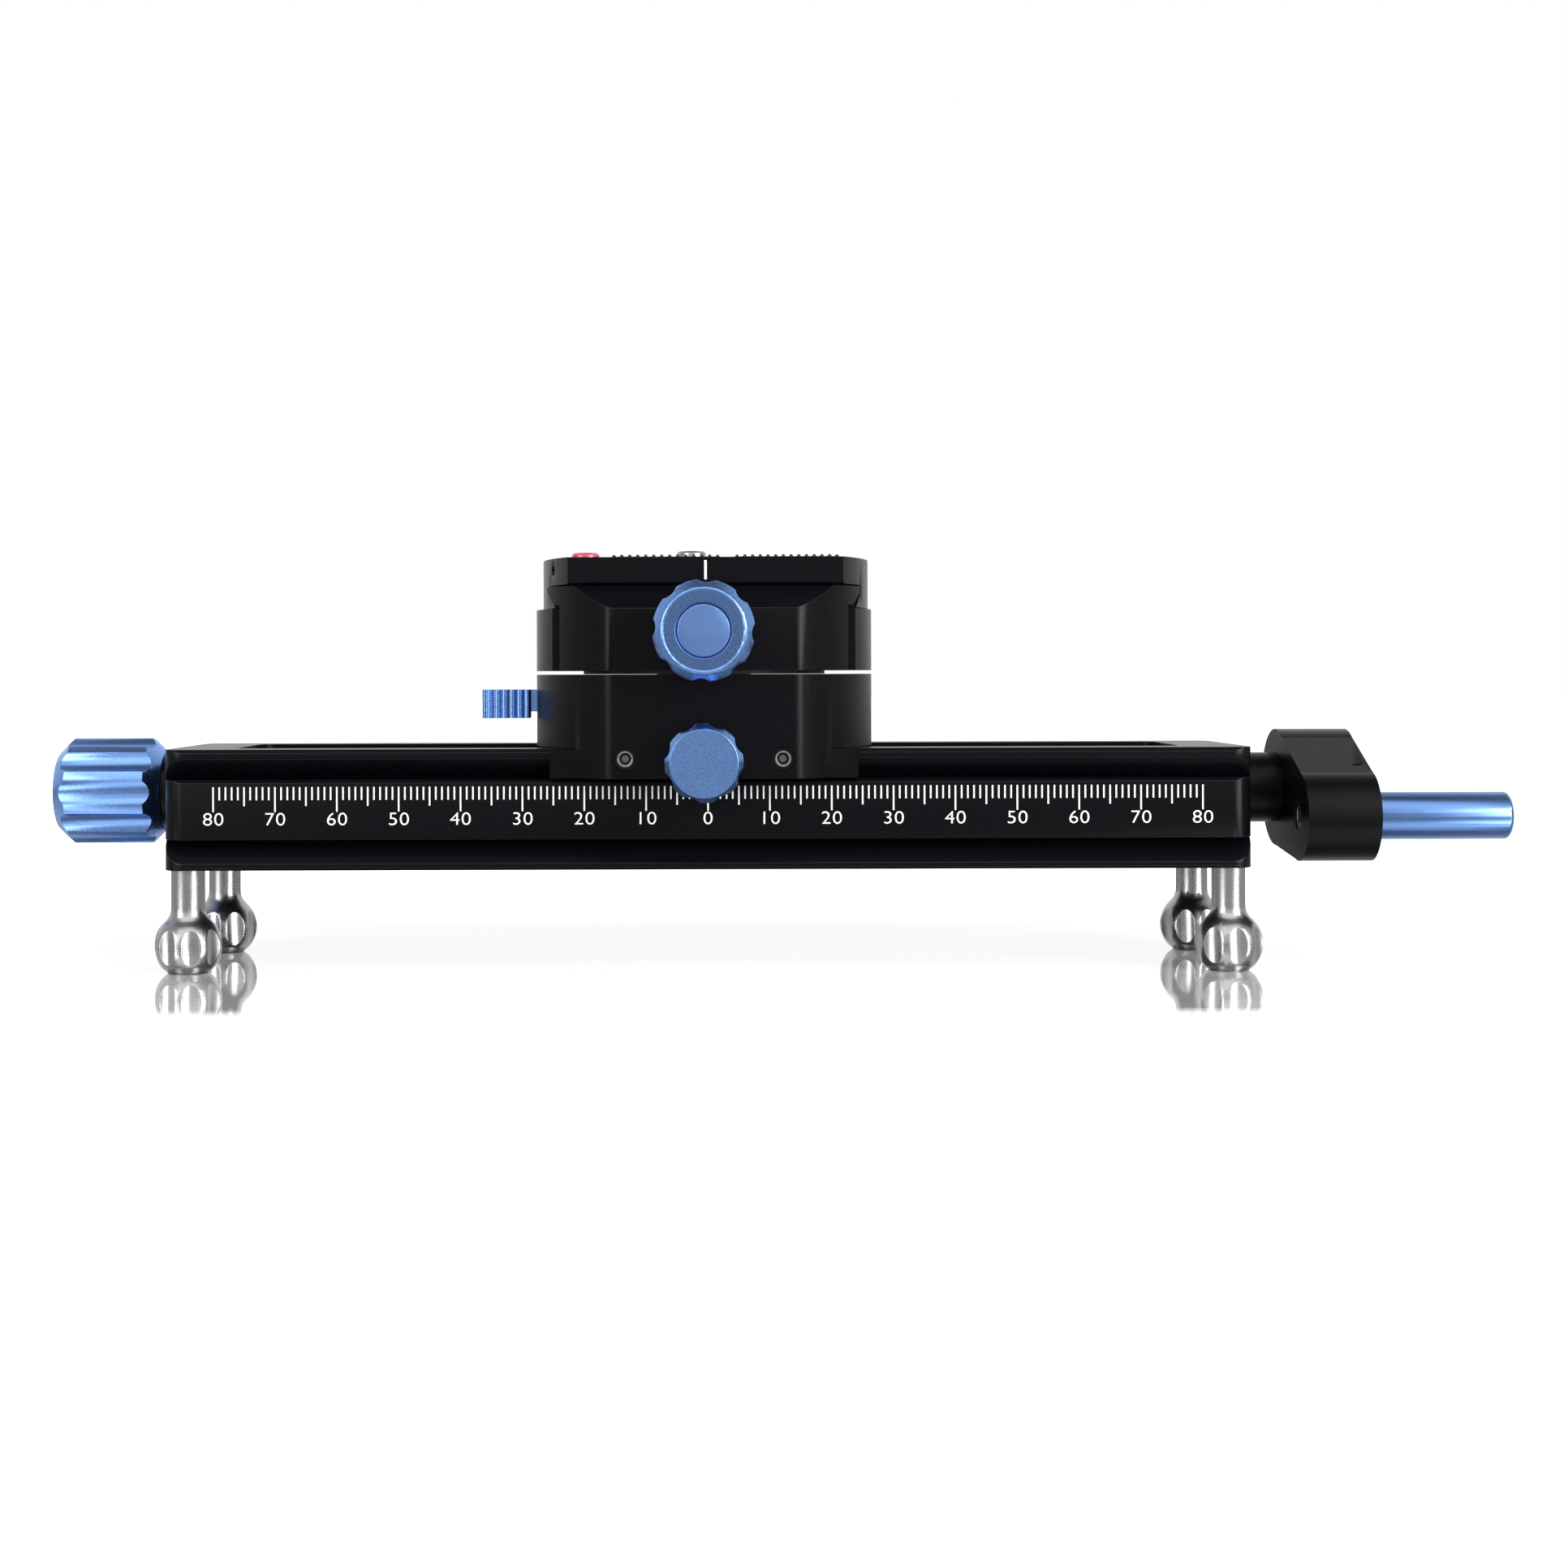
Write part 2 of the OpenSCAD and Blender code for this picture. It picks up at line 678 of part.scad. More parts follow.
// The space that the rail passes through, with its 45 degree undercuts.
module tunnel_section() {
    hook_y = skirt_z + slope_shift;
    polygon(both_sides([
        [hook_y, skirt_z - cut], [hook_y, skirt_z], [tunnel_y, tunnel_y - slope_shift],
        [tunnel_y, carriage_z]
    ]));
}

module gib_section(gap) {
    polygon([
        [-gib_out - gap, gib_bottom - gap], [-gib_bottom - slope_shift, gib_bottom - gap],
        [-gib_bottom - slope_shift, gib_bottom], [-tunnel_y, tunnel_y - slope_shift],
        [-tunnel_y, gib_top + gap], [-gib_out - gap, gib_top + gap]
    ]);
}

// Plan of the space that the lever sweeps, out through the carriage's rear left side.
module lever_slot_plan() {
    half = lever_arm_w / 2 + side_gap;
    reach = drum_r - lever_pivot + 4;
    circle(slot_r);
    for (turn = [0, lever_swing]) rotate(-turn) translate([-reach, -half]) square([reach, 2 * half]);
    polygon([
        [0, 0], [-reach, 0], reach / cos(lever_swing / 2) * [-cos(lever_swing / 2), sin(lever_swing / 2)],
        reach * [-cos(lever_swing), sin(lever_swing)]
    ]);
}

module at_block_screws() {
    for (x = [-1, 1], y = [-1, 1]) translate([x * block_screw_x, y * block_screw_y, 0]) children();
}

module carriage_body() {
    color("#17181b") on_carriage() difference() {
        translate([0, 0, skirt_z]) {
            linear_extrude(carriage_top - skirt_z) drum_plan();
            linear_extrude(gib_top - skirt_z) square([skirt_l, skirt_w], center = true);
        }
        along_x(2 * drum_r + 2 * cut) tunnel_section();
        along_x(gib_l + 2 * run_gap) gib_section(run_gap);
        for (x = [-1, 1]) translate([x * gib_screw_x, 0, gib_screw_z])
            rod_y(gib_screw_r + run_gap, -drum_flat - cut, -gib_out);
        translate([0, 0, lock_z]) rod_y(lock_screw_r + run_gap, -drum_flat - cut, -gib_out);
        translate([0, 0, carriage_z - cut]) cylinder(r = retainer_r + run_gap, h = shoulder_z - carriage_z + cut);
        cylinder(r = spindle_r + run_gap, h = carriage_top + cut);
        at_block_screws() translate([0, 0, carriage_z - cut])
            cylinder(r = m25_r + run_gap, h = block_screw_top - carriage_z + 0.2 + cut);
        translate([-lever_pivot, 0, lever_z - slot_gap])
            linear_extrude(lever_top - lever_z + 2 * slot_gap) lever_slot_plan();
        translate([-lever_pivot, 0, lever_pin_bottom])
            cylinder(r = lever_pin_r + fixed_gap, h = carriage_top - lever_pin_bottom + cut);
        translate([0, 0, shoe_z]) rod_x(shoe_r + run_gap, -lever_pivot, 0);
    }
}

module gib_strip() {
    color("#9a8550") on_carriage() along_x(gib_l) gib_section(0);
}

module gib_screws() {
    color("#4a4c50") on_carriage() for (x = [-1, 1]) translate([x * gib_screw_x, 0, gib_screw_z])
        difference() {
            rod_y(gib_screw_r, -gib_screw_front, -gib_out - run_gap);
            translate([0, -gib_screw_front + 1.4, 0]) rotate([90, 0, 0])
                cylinder(r = 1.15, h = 1.4 + cut, $fn = 6);
        }
}

module nut_block() {
    color("#202124") on_carriage() difference() {
        translate([-block_l / 2, -block_w / 2, block_bottom])
            cube([block_l, block_w, carriage_z - block_bottom]);
        translate([0, 0, screw_z]) {
            rod_x(nut_r + fixed_gap, -block_l / 2 - cut, block_l / 2 + cut);
            rod_x(nut_flange_r + fixed_gap, -block_l / 2 - cut, -block_l / 2 + nut_flange_t);
        }
        at_block_screws() {
            translate([0, 0, block_bottom - cut]) cylinder(r = m25_r + run_gap, h = rail_h);
            translate([0, 0, block_bottom - cut]) cylinder(r = m25_head_r + run_gap, h = m25_head_h + cut);
        }
    }
}

module drive_nut() {
    color("#b8934a") on_carriage() translate([0, 0, screw_z]) difference() {
        union() {
            rod_x(nut_r, -block_l / 2, -block_l / 2 + nut_l);
            rod_x(nut_flange_r, -block_l / 2, -block_l / 2 + nut_flange_t);
        }
        rod_x(screw_r + run_gap, -block_l, block_l);
    }
}

// A socket cap screw, head down, from the bottom of its head to its tip.
module cap_screw(shank_r, cap_r, cap_h, socket_r, z0, z1) {
    difference() {
        union() {
            translate([0, 0, z0]) cylinder(r = cap_r, h = cap_h);
            translate([0, 0, z0]) cylinder(r = shank_r, h = z1 - z0);
        }
        translate([0, 0, z0 - cut]) cylinder(r = socket_r, h = 0.55 * cap_h + cut, $fn = 6);
    }
}

module nut_block_screws() {
    color("#3c3e42") on_carriage() at_block_screws()
        cap_screw(m25_r, m25_head_r, m25_head_h, m25_socket_r, block_bottom, block_screw_top);
}

module lock_pad() {
    color("#b8934a") on_carriage() translate([0, 0, lock_z])
        rod_y(lock_screw_r, -gib_out - run_gap - lock_pad_t, -gib_out - run_gap);
}

module lock_screw() {
    color("#8d9196") on_carriage() translate([0, 0, lock_z])
        rod_y(lock_screw_r, -drum_flat - lock_l / 2, -gib_out - 2 * run_gap - lock_pad_t);
}

// A small knob with finger lobes, its back face at the origin and its front towards -Y.
// The scoops start past its neck, and the first one is turned from the top.
module lobed_knob(outer_r, length, neck_l, turn) {
    scoop_at = outer_r + scoop_r - scoop_depth;
    difference() {
        turned_front() children();
        for (i = [0:lobes - 1]) rotate([0, turn + i * 360 / lobes, 0]) translate([0, 0, scoop_at])
            rod_y(scoop_r, -length - cut, -neck_l);
    }
}

module lock_knob() {
    color("#2f6fb2") on_carriage() translate([0, -drum_flat - knob_washer, lock_z]) difference() {
        lobed_knob(lock_r, lock_l, lock_neck_l, 18.5) polygon([
            [0, 0], [3.6, 0], [3.6, lock_neck_l], [lock_r - 0.6, lock_neck_l], [lock_r, lock_neck_l + 0.6],
            [lock_r, lock_l - 1.2], [lock_face_r, lock_l], [0, lock_l]
        ]);
        rod_y(lock_screw_r + fixed_gap, -lock_l / 2 + knob_washer - 0.05, cut);
    }
}

// ---- Pan lock

module lever_grip_plan() {
    step_x = drum_r + 0.9;
    length = lever_reach - step_x;
    ridges = floor(length / ridge_pitch);
    difference() {
        translate([-(lever_reach + step_x) / 2, 0]) rounded_plan(length, lever_w, 0.6);
        for (i = [0:ridges - 1], y = [-1, 1])
            translate([-lever_reach + (i + 0.75) * ridge_pitch, y * (lever_w / 2 + 0.1)])
                circle(0.5, $fn = 24);
        translate([-lever_pivot, 0]) rotate(lever_swing) translate([lever_pivot, 0])
            circle(drum_r + 2 * side_gap, $fn = 180);
    }
}

module pan_lever() {
    color("#2f6fb2") on_carriage() difference() {
        union() {
            translate([0, 0, lever_grip_z]) linear_extrude(lever_top - lever_grip_z) lever_grip_plan();
            translate([-lever_pivot, 0, lever_z]) linear_extrude(lever_top - lever_z) {
                translate([cam_throw, 0]) circle(cam_r);
                translate([lever_pivot - drum_r - 2, -lever_arm_w / 2])
                    square([drum_r - lever_pivot + 2, lever_arm_w]);
            }
        }
        translate([-lever_pivot, 0, 0]) cylinder(r = lever_pin_r + run_gap, h = carriage_top);
    }
}

module lever_pin() {
    color("#8d9196") on_carriage() translate([-lever_pivot, 0, lever_pin_bottom])
        cylinder(r = lever_pin_r, h = carriage_top - lever_pin_bottom - 0.2);
}

module brake_shoe() {
    color("#b8934a") on_carriage() translate([0, 0, shoe_z]) rod_x(shoe_r, -shoe_start, -shoe_end);
}

module at_retainer_screws() {
    for (i = [0:2]) rotate(i * 120 + 60) translate([retainer_screw_circle, 0, 0]) children();
}

module pan_spindle() {
    color("#9fa3a8") on_carriage() difference() {
        union() {
            translate([0, 0, retainer_z + retainer_t])
                cylinder(r = spindle_r, h = clamp_z - retainer_z - retainer_t);
            translate([0, 0, clamp_z]) cylinder(r = spindle_neck_r, h = spindle_neck_h);
        }
        translate([0, 0, spindle_screw_end - 0.3]) cylinder(r = m5_r + fixed_gap, h = 2 * clamp_floor);
        at_retainer_screws() translate([0, 0, carriage_z])
            cylinder(r = m25_r + fixed_gap, h = shoulder_z - carriage_z + 2.7);
    }
}

module pan_retainer() {
    color("#8d9196") on_carriage() difference() {
        translate([0, 0, retainer_z]) cylinder(r = retainer_r, h = retainer_t);
        at_retainer_screws() translate([0, 0, retainer_z - cut]) {
            cylinder(r = m25_r + fixed_gap, h = retainer_t + 2 * cut);
            cylinder(r = m25_head_r + run_gap, h = 1.6 + cut);
        }
    }
}

module retainer_screws() {
    color("#3c3e42") on_carriage() at_retainer_screws()
        cap_screw(m25_r, m25_head_r, 1.6, m25_socket_r, retainer_z, shoulder_z + 2.5);
}

module pan_washer() {
    color("#232427") on_carriage() difference() {
        translate([0, 0, carriage_top + run_gap]) cylinder(r = washer_r, h = pan_gap - run_gap);
        translate([0, 0, carriage_top]) cylinder(r = spindle_r + fixed_gap, h = 2 * pan_gap);
    }
}

module spindle_screw() {
    color("#3c3e42") on_carriage() translate([0, 0, floor_z - 0.6]) mirror([0, 0, 1])
        cap_screw(m5_r, m5_head_r, m5_head_h, m5_socket_r, 0, floor_z - 0.6 - spindle_screw_end);
}

// ---- Clamp

module clamp_section() {
    polygon([
        [-body_front, clamp_z], [drum_flat, clamp_z], [drum_flat, floor_z + jaw_bevel_foot],
        [jaw_bevel, jaw_top], [jaw_tip, jaw_top], [jaw_tip, tip_z], [jaw_heel, heel_z],
        [jaw_heel, floor_z], [-body_front, floor_z]
    ]);
}

module front_jaw_section() {
    polygon([
        [-jaw_back, clamp_z], [-drum_flat, clamp_z], [-drum_flat, floor_z + jaw_bevel_foot],
        [-jaw_bevel, jaw_top], [-jaw_tip, jaw_top], [-jaw_tip, tip_z], [-jaw_heel, heel_z],
        [-jaw_back, heel_z]
    ]);
}

module drum_slice() {
    intersection() {
        along_x(2 * drum_r + 2 * cut) children();
        translate([0, 0, clamp_z]) linear_extrude(jaw_top - clamp_z) drum_plan();
    }
}

module at_guides() {
    for (x = [-1, 1]) translate([x * guide_x, 0, clamp_screw_z]) children();
}

module clamp_body() {
    color("#17181b") on_carriage() difference() {
        drum_slice() clamp_section();
        translate([0, 0, clamp_z - cut]) cylinder(r = spindle_neck_r + fixed_gap, h = spindle_neck_h + 0.1 + cut);
        translate([0, 0, clamp_z]) cylinder(r = m5_r + fixed_gap, h = clamp_floor + cut);
        translate([0, 0, floor_z - 0.6 - m5_head_h]) cylinder(r = m5_head_r + fixed_gap, h = clamp_floor);
        translate([0, 0, clamp_screw_z])
            rod_y(clamp_screw_r + run_gap, -body_front - cut, -clamp_screw_end + 0.3);
        at_guides() rod_y(guide_r + fixed_gap, -body_front - cut, -body_front + guide_depth + 0.2);
    }
}

module jaw_guide_pins() {
    color("#b9bcc0") on_carriage() at_guides()
        rod_y(guide_r, -drum_flat + guide_wall + side_gap, -body_front + guide_depth);
}

module front_jaw() {
    color("#17181b") on_carriage() difference() {
        drum_slice() front_jaw_section();
        translate([0, 0, clamp_screw_z]) rod_y(clamp_screw_r + run_gap, -drum_flat - cut, 0);
        at_guides() rod_y(guide_r + run_gap, -drum_flat + guide_wall, 0);
    }
}

module clamp_screw() {
    color("#8d9196") on_carriage() translate([0, 0, clamp_screw_z])
        rod_y(clamp_screw_r, -drum_flat - clamp_knob_l / 2, -clamp_screw_end);
}

module at_clamp_knob() {
    on_carriage() translate([0, -drum_flat - knob_washer, clamp_screw_z]) children();
}

module clamp_knob() {
    dish = clamp_knob_l - 0.9;
    color("#2f6fb2") at_clamp_knob() difference() {
        lobed_knob(clamp_knob_r, clamp_knob_l, clamp_neck_l, 3) polygon([
            [0, 0], [5, 0], [5, clamp_neck_l],
            [clamp_knob_r - 0.7, clamp_neck_l], [clamp_knob_r, clamp_neck_l + 0.7],
            [clamp_knob_r, clamp_knob_l - 1.6], [rim_r + 0.2, clamp_knob_l - 0.2],
            [rim_r - 0.1, clamp_knob_l], [cap_r + 0.15, dish], [0, dish]
        ]);
        rod_y(clamp_screw_r + fixed_gap, -clamp_knob_l / 2 + knob_washer - 0.05, cut);
        rod_y(cap_r + fixed_gap, -clamp_knob_l, -clamp_knob_l + 3);
    }
}

module clamp_knob_cap() {
    color("#3f7fc0") at_clamp_knob() turned_front() polygon([
        [0, clamp_knob_l - 3], [cap_r, clamp_knob_l - 3], [cap_r, clamp_knob_l - 0.75],
        [cap_r - 0.25, clamp_knob_l - 0.5], [0, clamp_knob_l - 0.5]
    ]);
}

// ---- Camera plate

module plate_plan() {
    intersection_for(side = [-1, 1]) intersection() {
        square([plate_l, rail_w], center = true);
        translate([side * (plate_end_r - plate_l / 2), 0]) circle(plate_end_r, $fn = 240);
    }
}

module plate_section() {
    break = 0.3;
    polygon(both_sides([
        [plate_heel, plate_z], [plate_heel, plate_lip_z], [plate_neck, tip_z - 0.08],
        [plate_neck, flange_z], [half_w - break, flange_z], [half_w, flange_z + break],
        [half_w, plate_top - break], [half_w - break, plate_top]
    ]));
}

module at_camera_screw() {
    on_plate() translate([camera_screw_x, 0, 0]) children();
}

module at_plate_grub() {
    on_plate() translate([0, -align_y, plate_grub_z]) children();
}

module camera_plate() {
    color("#17181b") difference() {
        on_plate() intersection() {
            along_x(plate_l + cut) plate_section();
            translate([0, 0, plate_z]) linear_extrude(plate_top - plate_z) plate_plan();
        }
        at_camera_screw() {
            translate([0, 0, plate_z - cut]) cylinder(r = camera_screw_r + run_gap, h = rail_h);
            translate([0, 0, plate_z - cut]) cylinder(r = head_r + 0.2, h = head_recess_h + cut);
        }
        on_plate() translate([-align_x, -align_y, plate_top - 3.2])
            cylinder(r = align_r + fixed_gap, h = rail_h);
        at_plate_grub() rod_x(plate_grub_r + fixed_gap, -plate_l, -align_x);
    }
}

// A rubber pad with ridges across the rail, glued on top of the plate.
module pad(x0, x1) {
    ridges = round((x1 - x0) / pad_pitch);
    pitch = (x1 - x0) / ridges;
    inset = 1.1;
    on_plate() translate([0, 0, plate_top]) {
        translate([(x0 + x1) / 2, 0, 0]) linear_extrude(pad_base) rounded_plan(x1 - x0, pad_w, 2);
        for (i = [0:ridges - 1]) {
            short = (i == 0 || i == ridges - 1) ? inset : 0;
            translate([x0 + (i + 0.5) * pitch, 0, 0]) rotate([90, 0, 0])
                linear_extrude(pad_w - 0.6 - 2 * short, center = true)
                    polygon([[-0.36, pad_base - 0.05], [-0.2, pad_t - 0.08], [-0.1, pad_t],
                             [0.1, pad_t], [0.2, pad_t - 0.08], [0.36, pad_base - 0.05]]);
        }
    }
}

module pad_left() {
    color("#1c1c1d") difference() {
        pad(pad_left_x0, pad_left_x1);
        at_camera_screw() translate([0, 0, plate_top - cut]) cylinder(r = camera_screw_r + 0.9, h = 2 * cut + pad_t);
    }
}

module pad_right() {
    color("#1c1c1d") pad(pad_right_x0, pad_right_x1);
}

module camera_screw() {
    head_z = plate_z + head_recess_h - head_h;
    tip_z0 = plate_top + camera_screw_h;
    color("#b9bcc0") at_camera_screw() difference() {
        union() {
            translate([0, 0, head_z - 0.1]) cylinder(r = head_r, h = head_h);
            translate([0, 0, head_z]) cylinder(r = camera_screw_r, h = tip_z0 - 1.5 - head_z);
            translate([0, 0, head_z]) rotate_extrude() polygon([
                [0, 0], [camera_tip_r, 0], [camera_tip_r, tip_z0 - head_z - 0.3],
                [camera_tip_r - 0.3, tip_z0 - head_z], [0, tip_z0 - head_z]
            ]);
        }
        translate([0, 0, head_z - cut]) cylinder(r = 2.9, h = 2 + cut, $fn = 6);
    }
}

module alignment_pin() {
    color("#c23b45") on_plate() translate([-align_x, -align_y, plate_top - 3.2]) rotate_extrude()
        polygon([
            [0, 0], [align_r, 0], [align_r, 3.2 + align_h - 0.35],
            [align_r - 0.35, 3.2 + align_h], [0, 3.2 + align_h]
        ]);
}

module plate_grub_screw() {
    outer = -plate_end_x(align_y) + plate_grub_recess;
    color("#8d9196") at_plate_grub() difference() {
        rod_x(plate_grub_r, outer, -align_x - align_r - fixed_gap);
        hex_x(0.5, outer - cut, outer + 0.9);
    }
}

rail_body();
foot_front_left();
foot_front_right();
foot_rear_left();
foot_rear_right();
bearing_outer_rings();
bearing_inner_rings();
bearing_balls();
lead_screw();
left_collar();
right_collar();
drive_knob();
drive_grub_screws();
crank_arm();
crank_pin();
crank_handle();
carriage_body();
gib_strip();
gib_screws();
nut_block();
drive_nut();
nut_block_screws();
lock_pad();
lock_screw();
lock_knob();
pan_lever();
lever_pin();
brake_shoe();
pan_spindle();
pan_retainer();
retainer_screws();
pan_washer();
spindle_screw();
clamp_body();
jaw_guide_pins();
front_jaw();
clamp_screw();
clamp_knob();
clamp_knob_cap();
camera_plate();
pad_left();
pad_right();
camera_screw();
alignment_pin();
plate_grub_screw();
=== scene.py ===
"""Dresses the macro focusing rail.

The CAD model holds every piece at its real size. This file gives each piece its finish and its
broken edges, cuts the threads, fills the engraved scale, and sets up a plain studio.
Names that end in _mm are in millimetres, and helix() and rod() take millimetres too. All the
rest is in metres, in the frame of the CAD model.
"""
import json
import math

import bpy
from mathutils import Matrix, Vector

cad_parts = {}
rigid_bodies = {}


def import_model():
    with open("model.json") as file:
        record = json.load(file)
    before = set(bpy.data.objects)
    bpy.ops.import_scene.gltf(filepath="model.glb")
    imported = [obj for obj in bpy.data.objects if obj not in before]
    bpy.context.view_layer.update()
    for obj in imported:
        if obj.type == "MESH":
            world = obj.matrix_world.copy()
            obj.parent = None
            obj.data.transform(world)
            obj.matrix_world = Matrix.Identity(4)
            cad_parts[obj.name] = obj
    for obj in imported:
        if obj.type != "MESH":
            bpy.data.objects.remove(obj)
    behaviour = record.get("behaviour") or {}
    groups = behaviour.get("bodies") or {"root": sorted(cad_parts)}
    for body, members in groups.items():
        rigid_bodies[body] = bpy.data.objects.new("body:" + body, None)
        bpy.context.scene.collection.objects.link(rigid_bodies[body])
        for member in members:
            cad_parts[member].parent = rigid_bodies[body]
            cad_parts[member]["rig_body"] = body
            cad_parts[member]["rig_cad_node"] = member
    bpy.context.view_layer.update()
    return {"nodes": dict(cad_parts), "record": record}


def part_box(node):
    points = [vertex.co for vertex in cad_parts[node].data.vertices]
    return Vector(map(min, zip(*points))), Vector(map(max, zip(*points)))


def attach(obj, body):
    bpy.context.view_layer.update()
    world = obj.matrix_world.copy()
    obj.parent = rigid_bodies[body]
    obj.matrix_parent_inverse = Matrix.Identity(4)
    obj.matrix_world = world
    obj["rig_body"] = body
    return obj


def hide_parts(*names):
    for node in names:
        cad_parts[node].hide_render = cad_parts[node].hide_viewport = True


bl_info = {
    "name": "Macro focusing rail",
    "version": (1, 0, 0),
    "blender": (4, 5, 0),
    "location": "3D View > Sidebar > Focusing rail",
    "description": "Finishes, engraving, threads and stage of a macro focusing rail",
    "category": "Object",
}

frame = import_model()
NODES = frame["nodes"]
BODY_OF = {
    node: body
    for body, nodes in frame["record"]["behaviour"]["bodies"].items()
    for node in nodes
}
MM = 0.001
INCH_MM = 25.4

# Node: (finish, width of the broken edge in mm, name of the record's material slot)
FINISH = {
    "rail_body": ("black", 0.22, "black_anodised"),
    "carriage_body": ("black", 0.35, "black_anodised"),
    "clamp_body": ("black", 0.3, "black_anodised"),
    "front_jaw": ("black", 0.3, "black_anodised"),
    "camera_plate": ("black", 0.22, "black_anodised"),
    "crank_arm": ("black", 0.5, "black_anodised"),
    "left_collar": ("black", 0.3, "black_anodised"),
    "right_collar": ("black", 0.3, "black_anodised"),
    "nut_block": ("black", 0.2, "black_anodised"),
    "drive_knob": ("blue", 0.2, "blue_anodised"),
    "crank_handle": ("blue_drawn", 0.12, "blue_anodised"),
    "lock_knob": ("blue", 0.25, "blue_anodised"),
    "clamp_knob": ("blue", 0.25, "blue_anodised"),
    "clamp_knob_cap": ("blue_turned", 0.08, "blue_anodised"),
    "pan_lever": ("blue", 0.12, "blue_anodised"),
    "alignment_pin": ("red", 0.06, "red_anodised"),
    "camera_screw": ("steel", 0.06, "stainless"),
    "crank_pin": ("steel", 0.1, "screw_steel"),
    "clamp_screw": ("steel", 0.15, "screw_steel"),
    "lock_screw": ("steel", 0.15, "screw_steel"),
    "lever_pin": ("steel", 0.1, "screw_steel"),
    "jaw_guide_pins": ("steel", 0.15, "screw_steel"),
    "pan_spindle": ("steel", 0.1, "screw_steel"),
    "pan_retainer": ("steel", 0.2, "screw_steel"),
    "bearing_outer_rings": ("steel", 0.15, "bearing_steel"),
    "bearing_inner_rings": ("steel", 0.1, "bearing_steel"),
    "bearing_balls": ("steel", 0, "bearing_steel"),
    "drive_grub_screws": ("dark", 0.06, "dark_steel"),
    "gib_screws": ("gib_screw", 0.12, "dark_steel"),
    "nut_block_screws": ("dark", 0.15, "dark_steel"),
    "retainer_screws": ("dark", 0.15, "dark_steel"),
    "spindle_screw": ("dark", 0.2, "dark_steel"),
    "plate_grub_screw": ("dark", 0.04, "dark_steel"),
    "gib_strip": ("brass", 0.08, "brass"),
    "drive_nut": ("brass", 0.15, "brass"),
    "lock_pad": ("brass", 0.08, "brass"),
    "brake_shoe": ("brass", 0.1, "brass"),
    "pan_washer": ("nylon", 0, "black_nylon"),
    "pad_left": ("rubber", 0, "black_rubber"),
    "pad_right": ("rubber", 0, "black_rubber"),
    "foot_front_left": ("stainless", 0.12, "stainless"),
    "foot_front_right": ("stainless", 0.12, "stainless"),
    "foot_rear_left": ("stainless", 0.12, "stainless"),
    "foot_rear_right": ("stainless", 0.12, "stainless"),
}

# Thread: (place along X, radius of the hole, pitch), all in mm. A 3/8-16 and two 1/4-20.
TRIPOD_THREADS = {
    "tripod_thread_middle": (0, 3.95, INCH_MM / 16),
    "tripod_thread_left": (-25, 2.55, INCH_MM / 20),
    "tripod_thread_right": (25, 2.55, INCH_MM / 20),
}

# Lamp: (place, width and height, watts). The narrow side lamps stand about 47 degrees out, which
# puts a thin upright highlight on each rounded corner of the carriage and the clamp.
LAMPS = {
    "top_softbox": ((0.0, -0.6, 0.75), (1.2, 0.7), 3.6),
    "left_softbox": ((-0.6, -0.58, 0.24), (0.38, 0.5), 3.2),
    "right_softbox": ((0.62, -0.56, 0.24), (0.38, 0.5), 7.5),
    "front_softbox": ((0.05, -0.95, 0.3), (0.9, 0.3), 0.5),
}
LAMP_TARGET = Vector((0, 0, 0.015))

# The camera that the photograph's perspective gives. It is level, with a very slight roll, and
# frames the rail by shifting its lens.
CAMERA_PLACE = (0, -0.401, 0.0317)
CAMERA_ROLL = 0.00297
CAMERA_SETTINGS = {
    "sensor_width": 36,
    "lens": 54.26,
    "shift_x": 0.0487,
    "shift_y": -0.0704,
    "clip_start": 0.01,
    "clip_end": 20,
}


def grey(level):
    return (level, level, level, 1)


class Socket:
    """An output of a shader node that takes part in Python arithmetic."""

    def __init__(self, graph, socket):
        self.graph = graph
        self.socket = socket

    def _math(self, operation, first, second):
        return self.graph.node("Math", {"operation": operation}, {0: first, 1: second})

    def __add__(self, other):
        return self._math("ADD", self, other)

    def __sub__(self, other):
        return self._math("SUBTRACT", self, other)

    def __rsub__(self, other):
        return self._math("SUBTRACT", other, self)

    def __mul__(self, other):
        return self._math("MULTIPLY", self, other)

    def __pow__(self, other):
        return self._math("POWER", self, other)

    def __gt__(self, other):
        return self._math("GREATER_THAN", self, other)

    def __lt__(self, other):
        return self._math("LESS_THAN", self, other)

    def __abs__(self):
        return self.graph.node("Math", {"operation": "ABSOLUTE"}, {0: self})


